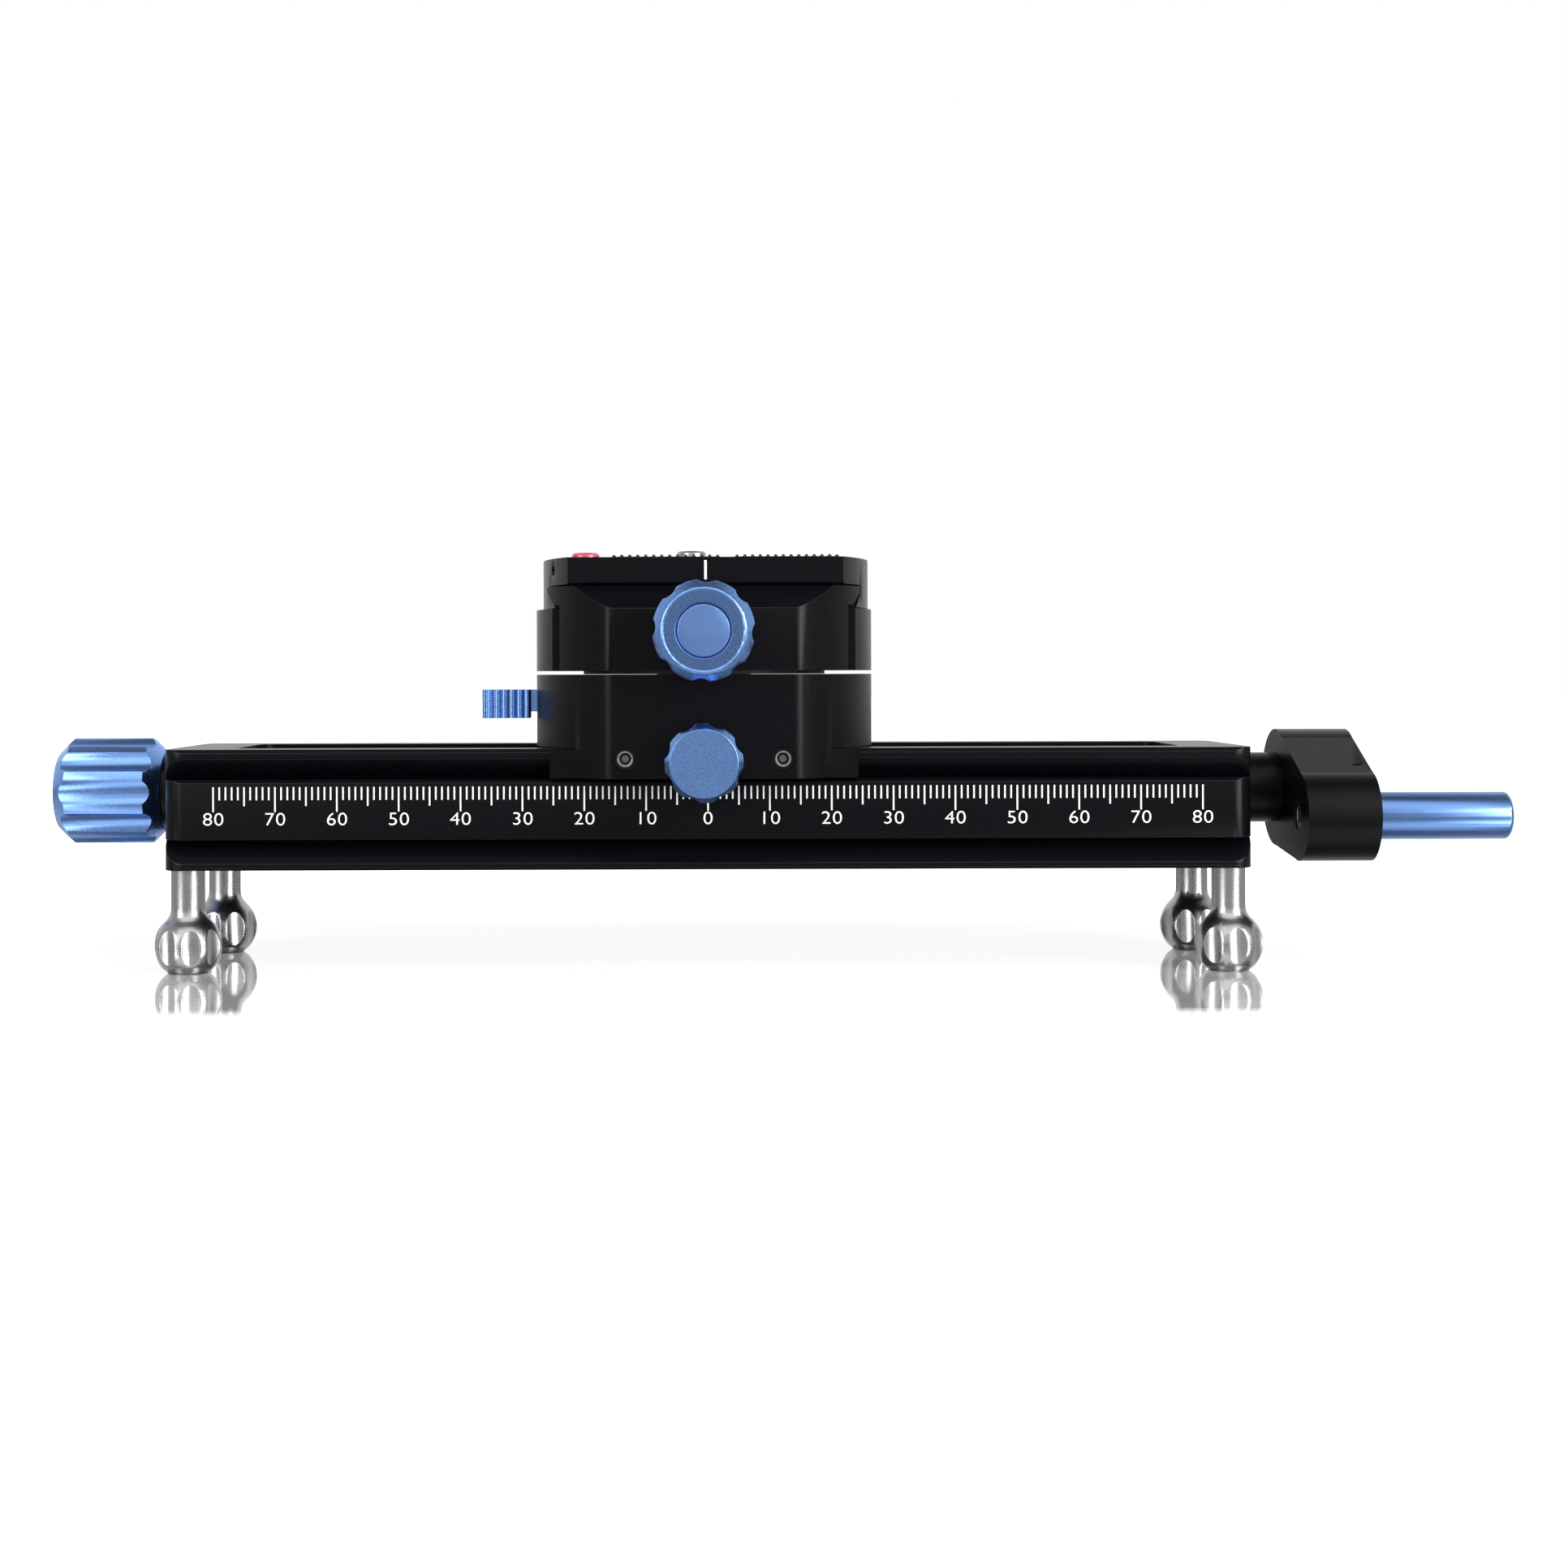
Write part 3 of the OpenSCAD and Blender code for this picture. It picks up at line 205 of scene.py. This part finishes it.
class Graph:
    """The node tree of one material or world, built a node at a time."""

    def __init__(self, owner):
        owner.use_nodes = True
        self.tree = owner.node_tree
        self.tree.nodes.clear()

    def node(self, kind, settings=None, inputs=None, output=0):
        made = self.tree.nodes.new("ShaderNode" + kind)
        for name, value in (settings or {}).items():
            setattr(made, name, value)
        for name, value in (inputs or {}).items():
            if isinstance(value, Socket):
                self.tree.links.new(value.socket, made.inputs[name])
            else:
                made.inputs[name].default_value = value
        return Socket(self, made.outputs[output]) if made.outputs else made

    def split(self, vector):
        """The X, Y and Z of a vector."""
        outputs = self.node("SeparateXYZ", None, {0: vector}).socket.node.outputs
        return [Socket(self, outputs[name]) for name in "XYZ"]

    def place(self):
        """Object coordinates, in metres."""
        return self.node("TexCoord", output="Object")

    def noise(self, size_mm, detail=2.0, roughness=0.5, place=None):
        """Noise with grains of about size_mm."""
        return self.node("TexNoise", None, {
            "Vector": place or self.place(), "Scale": 1 / (size_mm * MM),
            "Detail": detail, "Roughness": roughness,
        })

    def mix(self, factor, first, second):
        """A colour between two others."""
        return self.node(
            "Mix", {"data_type": "RGBA"}, {0: factor, 6: first, 7: second}, output=2)

    def ramp(self, value, start, end, low=0.0, high=1.0):
        """A value that runs from low to high as another runs from start to end."""
        return self.node("MapRange", None, {
            "Value": value, "From Min": start, "From Max": end, "To Min": low, "To Max": high})

    def bump(self, height, depth_mm):
        return self.node("Bump", None, {"Distance": depth_mm * MM, "Height": height})

    def finish(self, shader, kind="OutputMaterial"):
        self.node(kind, None, {"Surface": shader})


def new_material(name):
    material = bpy.data.materials.new(name)
    return material, Graph(material)


def scaled(colour, factor):
    """A colour made lighter or darker, with its alpha."""
    return (*(value * factor for value in colour), 1.0)


def blasted_metal(
        name, colour, metallic, roughness, grain_mm, grain_depth_mm, sparkle, specular=0.5):
    """Bead-blasted and anodised aluminium: a fine grain that glints."""
    material, g = new_material(name)
    grain = g.noise(grain_mm, 1.0)
    cloud = g.noise(9.0, 3.0)
    tone = (grain - 0.5) * sparkle + (cloud - 0.5) * 0.1 + 0.5
    g.finish(g.node("BsdfPrincipled", None, {
        "Base Color": g.mix(tone, scaled(colour, 0.75), scaled(colour, 1.25)),
        "Metallic": metallic,
        "Roughness": (cloud - 0.5) * 0.05 + (grain - 0.5) * 0.2 + roughness,
        "Specular IOR Level": specular,
        "Normal": g.bump(grain, grain_depth_mm),
    }))
    return material


def lined_metal(name, colour, roughness, axes, line_mm, line_depth_mm):
    """Metal whose fine lines cross the axes of the given numbers.

    With one axis they are the rings that a lathe leaves about it, and with the two axes across a
    rod, the lines that a die draws along it.
    """
    material, g = new_material(name)
    place = g.split(g.place())
    across = g.node("CombineXYZ", None, {axis: place[axis] for axis in axes})
    lines = g.noise(line_mm, 3.0, 0.6, across)
    cloud = g.noise(4.0, 2.0)
    g.finish(g.node("BsdfPrincipled", None, {
        "Base Color": g.mix(lines, scaled(colour, 0.82), scaled(colour, 1.1)),
        "Metallic": 1.0,
        "Roughness": (lines - 0.5) * 0.18 + (cloud - 0.5) * 0.1 + roughness,
        "Normal": g.bump(lines, line_depth_mm),
    }))
    return material


def plain(name, colour, metallic, roughness, grain_mm, grain_depth_mm):
    """A plain surface with a slight grain: paint, rubber, nylon or machined metal."""
    material, g = new_material(name)
    grain = g.noise(grain_mm, 3.0)
    g.finish(g.node("BsdfPrincipled", None, {
        "Base Color": g.mix(grain, scaled(colour, 0.85), scaled(colour, 1.15)),
        "Metallic": metallic,
        "Roughness": (grain - 0.5) * 0.16 + roughness,
        "Normal": g.bump(grain, grain_depth_mm),
    }))
    return material


def socket_screws(name, apart_mm, middle_mm, height_mm, glint_ring_mm, colour):
    """Blackened set screws in a pair along X, with painted highlights: a bright ring at the rim of
    the socket and a fainter spot in it.
    """
    material, g = new_material(name)
    x, _, z = g.split(g.place())
    across = abs(x - middle_mm * MM) - apart_mm * MM
    reach = (across ** 2 + (z - height_mm * MM) ** 2) ** 0.5
    # Painted highlight: steel colour in a ring where the socket's edge glints, and at half
    # strength inside the socket.
    rim = (reach < glint_ring_mm * MM) * (reach > 0.75 * glint_ring_mm * MM)
    socket = (reach < 0.45 * glint_ring_mm * MM) * 0.5
    grain = g.noise(0.3, 2.0)
    g.finish(g.node("BsdfPrincipled", None, {
        "Base Color": g.mix(rim + socket, (0.02, 0.02, 0.021, 1), scaled(colour, 1)),
        "Metallic": 1.0,
        "Roughness": (grain - 0.5) * 0.1 + 0.3,
        "Normal": g.bump(grain, 0.004),
    }))
    return material


def select_only(*objects):
    bpy.ops.object.select_all(action="DESELECT")
    for item in objects:
        item.select_set(True)
    bpy.context.view_layer.objects.active = objects[0]


def apply_modifier(piece, kind, **settings):
    select_only(piece)
    bpy.ops.object.modifier_add(type=kind)
    modifier = piece.modifiers[-1]
    for name, value in settings.items():
        setattr(modifier, name, value)
    bpy.ops.object.modifier_apply(modifier=modifier.name)


def coat(piece, material, edges=None):
    """Gives a piece its material, and another for its broken edges where there is one, made
    lighter and glossier to paint a highlight along them.
    """
    piece.data.materials.clear()
    piece.data.materials.append(material)
    if edges:
        piece.data.materials.append(edges)


def settle(piece):
    """Puts a piece's place, turn and size into its mesh."""
    select_only(piece)
    bpy.ops.object.transform_apply(location=True, rotation=True, scale=True)


def named(piece, name):
    piece.name = name
    piece.data.name = name
    return piece


def joined(name, pieces):
    select_only(*pieces)
    bpy.ops.object.join()
    return named(bpy.context.active_object, name)


def merged_copy(node):
    """A copy of a CAD node with its loose triangles joined into whole faces."""
    select_only(NODES[node])
    bpy.ops.object.duplicate()
    piece = bpy.context.active_object
    bpy.ops.object.parent_clear(type="CLEAR_KEEP_TRANSFORM")
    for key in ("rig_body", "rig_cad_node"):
        del piece[key]
    piece.name = node + ".dressed"
    bpy.ops.object.mode_set(mode="EDIT")
    bpy.ops.mesh.select_all(action="SELECT")
    bpy.ops.mesh.remove_doubles(threshold=0.001 * MM)
    bpy.ops.mesh.dissolve_limited(angle_limit=math.radians(0.4))
    bpy.ops.object.mode_set(mode="OBJECT")
    return piece


def break_edges(piece, width_mm, edge_material=-1):
    """Smooths a piece's faces, and breaks its edges as a machinist does."""
    sharp = math.radians(32)
    select_only(piece)
    bpy.ops.object.shade_smooth_by_angle(angle=sharp)
    if width_mm:
        apply_modifier(
            piece, "BEVEL", width=width_mm * MM, segments=2, limit_method="ANGLE",
            angle_limit=sharp, harden_normals=True, miter_outer="MITER_ARC",
            use_clamp_overlap=True, material=edge_material,
        )


def dress(node):
    """Replaces a CAD node with a copy that has its finish and its broken edges."""
    finish, edge_mm, slot = FINISH[node]
    piece = merged_copy(node)
    # The edge material, where a finish has one, paints a highlight along the broken edges.
    edges = FINISHES.get(finish + "_edges")
    coat(piece, FINISHES[finish], edges)
    break_edges(piece, edge_mm, edge_material=1 if edges else -1)
    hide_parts(node)
    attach(piece, BODY_OF[node])


def rod(name, radius, start, end, axis, edge_mm=0.2, sides=48):
    """A plain turned rod between two places in mm, with broken ends."""
    middle = [(a + b) / 2 * MM for a, b in zip(start, end)]
    turn = {"X": (0, math.pi / 2, 0), "Y": (math.pi / 2, 0, 0)}[axis]
    bpy.ops.object.select_all(action="DESELECT")
    bpy.ops.mesh.primitive_cylinder_add(
        vertices=sides, radius=radius * MM, depth=(Vector(end) - Vector(start)).length * MM,
        location=middle, rotation=turn,
    )
    piece = named(bpy.context.active_object, name)
    settle(piece)
    break_edges(piece, edge_mm)
    return piece


def block(middle, size):
    """A square-edged block, in metres."""
    bpy.ops.object.select_all(action="DESELECT")
    bpy.ops.mesh.primitive_cube_add(size=1, location=middle, scale=size)
    return bpy.context.active_object


def helix(name, root_r, crest_r, pitch, turns, start, axis, steps=24, inward=False):
    """A cut thread about X or Z, made by the screw modifier from one tooth's outline, in mm."""
    flat = pitch / 8
    flank = (pitch - 2 * flat) / 2
    low, high = (crest_r, root_r) if inward else (root_r, crest_r)
    outline = [(0, low), (flat, low), (flat + flank, high), (2 * flat + flank, high), (pitch, low)]

    # A plane merged to one point on the axis is drawn out along the outline, and then the point
    # itself is deleted.
    bpy.ops.object.select_all(action="DESELECT")
    bpy.ops.mesh.primitive_plane_add(size=MM, location=(0, 0, 0))
    piece = named(bpy.context.active_object, name)
    bpy.ops.object.mode_set(mode="EDIT")
    bpy.ops.mesh.merge(type="CENTER")
    for (x0, r0), (x1, r1) in zip([(0, 0)] + outline, outline):
        step = (x1 - x0, 0, r1 - r0) if axis == "X" else (r1 - r0, 0, x1 - x0)
        bpy.ops.mesh.extrude_region_move(
            TRANSFORM_OT_translate={"value": tuple(v * MM for v in step)})
    bpy.ops.object.mode_set(mode="OBJECT")
    for vertex in piece.data.vertices:
        vertex.select = vertex.index == 0
    bpy.ops.object.mode_set(mode="EDIT")
    bpy.ops.mesh.delete(type="VERT")
    bpy.ops.object.mode_set(mode="OBJECT")

    weld = 0.002 * MM
    apply_modifier(
        piece, "SCREW", axis=axis, screw_offset=pitch * MM, iterations=turns, steps=steps,
        render_steps=steps, use_merge_vertices=True, merge_threshold=weld,
        use_normal_calculate=True,
    )
    piece.location = tuple(v * MM for v in start)
    settle(piece)
    bpy.ops.object.mode_set(mode="EDIT")
    bpy.ops.mesh.select_all(action="SELECT")
    bpy.ops.mesh.remove_doubles(threshold=weld)
    bpy.ops.mesh.normals_make_consistent(inside=inward)
    bpy.ops.object.mode_set(mode="OBJECT")
    select_only(piece)
    bpy.ops.object.shade_smooth_by_angle(angle=math.radians(30))
    return piece


class RailSizes(bpy.types.PropertyGroup):
    """Sizes of the details that the CAD model leaves to this file."""
    tick_width: bpy.props.FloatProperty(
        name="Tick width", description="Width of a line of the scale", default=0.25 * MM,
        unit="LENGTH")
    tick_short: bpy.props.FloatProperty(
        name="Short tick", description="Length of a one millimetre line", default=2.1 * MM,
        unit="LENGTH")
    tick_middle: bpy.props.FloatProperty(
        name="Middle tick", description="Length of a five millimetre line", default=3.05 * MM,
        unit="LENGTH")
    tick_long: bpy.props.FloatProperty(
        name="Long tick", description="Length of a ten millimetre line", default=4.0 * MM,
        unit="LENGTH")
    tick_top: bpy.props.FloatProperty(
        name="Scale top", description="Height of the top of the lines", default=13.55 * MM,
        unit="LENGTH")
    number_height: bpy.props.FloatProperty(
        name="Number height", description="Height of the scale's numbers", default=2.1 * MM,
        unit="LENGTH")
    number_middle: bpy.props.FloatProperty(
        name="Number place", description="Height of the middle of the numbers",
        default=8.25 * MM, unit="LENGTH")
    thread_pitch: bpy.props.FloatProperty(
        name="Lead", description="Lead of the drive screw", default=1.25 * MM, unit="LENGTH")


class RailColours(bpy.types.PropertyGroup):
    """Colours of the finishes."""
    black: bpy.props.FloatVectorProperty(
        name="Black", description="Black anodised parts", subtype="COLOR",
        default=(0.0021, 0.002, 0.0032), min=0, max=1)
    blue: bpy.props.FloatVectorProperty(
        name="Blue", description="Blue anodised parts", subtype="COLOR",
        default=(0.19, 0.35, 0.74), min=0, max=1)
    red: bpy.props.FloatVectorProperty(
        name="Red", description="Alignment pin", subtype="COLOR",
        default=(0.62, 0.13, 0.16), min=0, max=1)
    steel: bpy.props.FloatVectorProperty(
        name="Steel", description="Stainless and ground steel", subtype="COLOR",
        default=(0.38, 0.38, 0.39), min=0, max=1)
    marks: bpy.props.FloatVectorProperty(
        name="Marks", description="Filled engraving", subtype="COLOR",
        default=(0.78, 0.78, 0.78), min=0, max=1)


FINISHES = {}


class RAIL_OT_finishes(bpy.types.Operator):
    """Makes the materials"""
    bl_idname = "rail.finishes"
    bl_label = "Finishes"

    def execute(self, context):
        c = context.scene.rail_colours
        along_x, along_y, along_z = 0, 1, 2
        FINISHES.update({
            "black": blasted_metal(
                "black_anodised", c.black, metallic=0.0, roughness=0.3, grain_mm=0.15,
                grain_depth_mm=0.012, sparkle=1.6, specular=0.11),
            # Painted highlight: the broken edges get a black three times lighter and far more
            # reflective than the faces, so that every edge shows a bright line.
            "black_edges": blasted_metal(
                "black_edges", scaled(c.black, 3)[:3], metallic=0.0, roughness=0.26,
                grain_mm=0.15, grain_depth_mm=0.003, sparkle=1.0),
            "blue": blasted_metal(
                "blue_anodised", c.blue, metallic=1.0, roughness=0.27, grain_mm=0.14,
                grain_depth_mm=0.005, sparkle=1.4),
            "blue_coarse": blasted_metal(
                "blue_coarse", scaled(c.blue, 0.5)[:3], metallic=1.0, roughness=0.34,
                grain_mm=0.2, grain_depth_mm=0.02, sparkle=2.6),
            "blue_drawn": lined_metal(
                "blue_drawn", scaled(c.blue, 0.72)[:3], roughness=0.3,
                axes=(along_y, along_z), line_mm=0.35, line_depth_mm=0.01),
            "blue_turned": lined_metal(
                "blue_turned", c.blue, roughness=0.3,
                axes=(along_y,), line_mm=0.15, line_depth_mm=0.004),
            "stainless": lined_metal(
                "stainless_turned", c.steel, roughness=0.27,
                axes=(along_z,), line_mm=0.12, line_depth_mm=0.003),
            "steel": lined_metal(
                "ground_steel", c.steel, roughness=0.27,
                axes=(along_x,), line_mm=0.2, line_depth_mm=0.003),
            # The gib screws' sockets get a painted highlight ring.
            "gib_screw": socket_screws(
                "gib_screw_ends", apart_mm=12.66, middle_mm=-0.6, height_mm=18.05,
                glint_ring_mm=1.28, colour=c.steel),
        })
        # Finish: (name, colour, metallic, roughness, grain in mm, depth of the grain in mm)
        plain_finishes = {
            "red": ("red_anodised", c.red, 0.5, 0.35, 0.2, 0.004),
            "dark": ("blackened_steel", (0.12, 0.12, 0.125), 1.0, 0.3, 0.3, 0.004),
            "brass": ("machined_brass", (0.56, 0.38, 0.13), 1.0, 0.3, 0.5, 0.004),
            "nylon": ("black_nylon", (0.016, 0.016, 0.018), 0.0, 0.5, 0.4, 0.006),
            "rubber": ("black_rubber", (0.02, 0.02, 0.021), 0.0, 0.62, 0.3, 0.012),
            "marks": ("mark_filling", c.marks, 0.0, 0.55, 0.3, 0.004),
        }
        for finish, values in plain_finishes.items():
            FINISHES[finish] = plain(*values)
        return {"FINISHED"}


class RAIL_OT_pieces(bpy.types.Operator):
    """Dresses every CAD piece but the lead screw"""
    bl_idname = "rail.pieces"
    bl_label = "Pieces"

    def execute(self, context):
        for node in FINISH:
            dress(node)
        return {"FINISHED"}


class RAIL_OT_lead_screw(bpy.types.Operator):
    """Makes the lead screw, with its thread cut"""
    bl_idname = "rail.lead_screw"
    bl_label = "Lead screw"

    def execute(self, context):
        pitch = context.scene.rail_sizes.thread_pitch / MM
        low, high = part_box("lead_screw")
        left, right = low[0] / MM, high[0] / MM
        z = (low[2] + high[2]) / 2 / MM
        crest_r = (high[2] - low[2]) / 2 / MM
        root_r = crest_r - 0.62 * pitch
        journal_r, core_x, thread_x = 2.98, 83.4, 82.6
        turns = int(2 * thread_x / pitch)
        thread = helix(
            "lead_screw_thread", root_r, crest_r, pitch, turns, (-turns * pitch / 2, 0, z), "X")
        core = rod("core", root_r + 0.02, (-core_x, 0, z), (core_x, 0, z), "X")
        journal = rod("journal", journal_r, (left, 0, z), (right, 0, z), "X")
        screw = joined("lead_screw.cut", [thread, core, journal])
        coat(screw, FINISHES["steel"])
        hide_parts("lead_screw")
        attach(screw, "drive")
        return {"FINISHED"}


class RAIL_OT_scale(bpy.types.Operator):
    """Fills the engraved millimetre scale and the plate's index line"""
    bl_idname = "rail.scale"
    bl_label = "Scale"

    # The filling stands 0.005 mm proud of the face that it is let into.
    depth = 0.03 * MM
    sunk = depth / 3

    def execute(self, context):
        sizes = context.scene.rail_sizes
        low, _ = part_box("rail_body")
        y = low[1] + self.sunk
        reach = 80
        pieces = []
        for mark in range(-reach, reach + 1):
            length = self.tick_length(mark, sizes)
            pieces.append(block(
                (mark * MM, y, sizes.tick_top - length / 2),
                (sizes.tick_width, self.depth, length)))
        for mark in range(-reach, reach + 1, 10):
            pieces.append(self.number(str(abs(mark)), mark * MM, y, sizes))
        marks = joined("scale_marks", pieces)
        settle(marks)
        coat(marks, FINISHES["marks"])
        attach(marks, "rail")

        low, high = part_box("camera_plate")
        line_width, line_length, line_middle = 0.42 * MM, 3.1 * MM, high[2] - 2.1 * MM
        line = named(block(
            ((low[0] + high[0]) / 2, low[1] + self.sunk, line_middle),
            (line_width, self.depth, line_length)), "plate_index_line")
        settle(line)
        coat(line, FINISHES["marks"])
        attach(line, "plate")
        return {"FINISHED"}

    def tick_length(self, mark, sizes):
        if mark % 10 == 0:
            return sizes.tick_long
        return sizes.tick_middle if mark % 5 == 0 else sizes.tick_short

    def number(self, words, x, y, sizes):
        digit_share = 0.71  # height of a digit over the size of Blender's own font
        bpy.ops.object.text_add(location=(0, 0, 0), rotation=(math.pi / 2, 0, 0))
        text = bpy.context.active_object
        text.data.body = words
        text.data.align_x = "CENTER"
        text.data.align_y = "CENTER"
        text.data.size = sizes.number_height / digit_share
        text.data.space_character = 1.06
        text.data.offset = -0.025 * MM
        text.data.extrude = self.depth / 2
        text.scale = (1.16, 1, 1)
        select_only(text)
        bpy.ops.object.convert(target="MESH")
        text.location = (x, y, sizes.number_middle)
        settle(text)
        return text


class RAIL_OT_knob_face(bpy.types.Operator):
    """Lays the flat, coarsely blasted face between the clamp knob's rim and its cap"""
    bl_idname = "rail.knob_face"
    bl_label = "Knob face"

    def execute(self, context):
        low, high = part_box("clamp_knob")
        cap_low, cap_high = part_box("clamp_knob_cap")
        x, z = (low[0] + high[0]) / 2 / MM, (low[2] + high[2]) / 2 / MM
        front, cap_r = low[1] / MM, (cap_high[0] - cap_low[0]) / 2 / MM
        face_r, below_rim, cap_clearance, sides = 6.42, 0.12, 0.12, 96
        face = rod(
            "clamp_knob_face", face_r, (x, front + below_rim, z), (x, front + 0.8, z), "Y",
            0, sides)
        cutter = rod(
            "cutter", cap_r + cap_clearance, (x, front - 1, z), (x, front + 2, z), "Y",
            0, sides)
        apply_modifier(face, "BOOLEAN", object=cutter)
        select_only(cutter)
        bpy.ops.object.delete()
        break_edges(face, 0.1)
        coat(face, FINISHES["blue_coarse"])
        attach(face, "clamp_handwheel")
        return {"FINISHED"}


class RAIL_OT_threads(bpy.types.Operator):
    """Cuts the threads of the tripod sockets"""
    bl_idname = "rail.threads"
    bl_label = "Threads"

    def execute(self, context):
        floor_mm = 4  # thickness of the channel's floor, which the sockets pass through
        thread_depth = 0.42
        for name, (x, radius, pitch) in TRIPOD_THREADS.items():
            turns = 2 if radius > 3 else 3
            start_z = (floor_mm - turns * pitch) / 2
            thread = helix(
                name, radius + 0.01, radius - thread_depth, pitch, turns, (x, 0, start_z), "Z",
                steps=48, inward=True)
            coat(thread, FINISHES["black"])
            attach(thread, "rail")
        return {"FINISHED"}


class RAIL_OT_stage(bpy.types.Operator):
    """Sets the floor, the world, the lamps and the camera"""
    bl_idname = "rail.stage"
    bl_label = "Stage"

    def execute(self, context):
        scene = context.scene
        scene.view_settings.view_transform = "Standard"
        self.lay_floor()
        scene.world = self.make_world()
        for name, (place, size, power) in LAMPS.items():
            self.hang_lamp(name, place, size, power)
        bpy.ops.object.camera_add(
            location=CAMERA_PLACE, rotation=(math.pi / 2, CAMERA_ROLL, 0))
        camera = bpy.context.active_object
        for name, value in CAMERA_SETTINGS.items():
            setattr(camera.data, name, value)
        scene.camera = camera
        return {"FINISHED"}

    def lay_floor(self):
        """A white floor, polished in a strip under the rail, where it mirrors the feet."""
        floor_z = min(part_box(node)[0][2] for node in NODES if node.startswith("foot"))
        bpy.ops.object.select_all(action="DESELECT")
        bpy.ops.mesh.primitive_plane_add(size=6, location=(0, 1.2, floor_z))
        floor = named(bpy.context.active_object, "floor")
        settle(floor)
        material, g = new_material("white_floor")
        seen = g.node("LightPath", output="Is Camera Ray")
        glossy = g.node("LightPath", output="Is Glossy Ray")
        _, y, _ = g.split(g.place())
        near = g.ramp(abs(y), 0.058, 0.070, 1.0, 0.0)
        # Only the camera sees the glow. It whitens the floor, and less so in the polished strip.
        glow = (1 - near) * 0.65 + 0.35
        matt = g.node("BsdfPrincipled", None, {
            "Base Color": g.mix(glossy, grey(0.82), grey(0.36)),
            "Roughness": 0.9,
            "Specular IOR Level": 0.0,
            "Emission Color": g.mix(seen * glow, grey(0), grey(1)),
            "Emission Strength": 1.0,
        })
        polish = g.node("BsdfGlossy", None, {"Color": grey(1), "Roughness": 0.04})
        g.finish(g.node("MixShader", None, {0: near * 0.8, 1: matt, 2: polish}))
        floor.data.materials.append(material)

    def make_world(self):
        """White to the camera. It lights the rail from behind, and less from ahead and above."""
        world = bpy.data.worlds.new("studio")
        g = Graph(world)
        direct = g.node("LightPath", output="Is Camera Ray")
        _, y, z = g.split(g.node("TexCoord", output="Generated"))
        sides = g.mix(g.ramp(y, -0.2, 0.7), grey(0.45), grey(1))
        tone = g.mix(g.ramp(z, 0.75, 0.95, 1.0, 0.0), grey(0.16), sides)
        lit = g.node("Background", None, {"Color": tone, "Strength": 1.0})
        white = g.node("Background", None, {"Color": grey(1), "Strength": 1.0})
        g.finish(g.node("MixShader", None, {0: direct, 1: lit, 2: white}), "OutputWorld")
        return world

    def hang_lamp(self, name, place, size, power):
        bpy.ops.object.light_add(type="AREA", location=place)
        lamp = bpy.context.active_object
        lamp.name = name
        lamp.visible_camera = False
        lamp.data.shape = "RECTANGLE"
        lamp.data.size, lamp.data.size_y = size
        lamp.data.energy = power
        aim = LAMP_TARGET - Vector(place)
        lamp.rotation_euler = aim.to_track_quat("-Z", "Y").to_euler()


class RAIL_PT_panel(bpy.types.Panel):
    """Lists the rail's steps, sizes and colours"""
    bl_label = "Focusing rail"
    bl_idname = "RAIL_PT_panel"
    bl_space_type = "VIEW_3D"
    bl_region_type = "UI"
    bl_category = "Focusing rail"

    def draw(self, context):
        for group in (context.scene.rail_sizes, context.scene.rail_colours):
            for name in group.bl_rna.properties.keys():
                if name not in ("rna_type", "name"):
                    self.layout.prop(group, name)
        for step in STEPS:
            self.layout.operator(step.bl_idname)


STEPS = (
    RAIL_OT_finishes,
    RAIL_OT_pieces,
    RAIL_OT_lead_screw,
    RAIL_OT_scale,
    RAIL_OT_knob_face,
    RAIL_OT_threads,
    RAIL_OT_stage,
)
CLASSES = (RailSizes, RailColours) + STEPS + (RAIL_PT_panel,)


def register():
    for item in CLASSES:
        bpy.utils.register_class(item)
    bpy.types.Scene.rail_sizes = bpy.props.PointerProperty(type=RailSizes)
    bpy.types.Scene.rail_colours = bpy.props.PointerProperty(type=RailColours)


def unregister():
    del bpy.types.Scene.rail_colours
    del bpy.types.Scene.rail_sizes
    for item in reversed(CLASSES):
        bpy.utils.unregister_class(item)


def main():
    register()
    bpy.ops.rail.finishes()
    bpy.ops.rail.pieces()
    bpy.ops.rail.lead_screw()
    bpy.ops.rail.scale()
    bpy.ops.rail.knob_face()
    bpy.ops.rail.threads()
    bpy.ops.rail.stage()


if __name__ == "__main__":
    main()
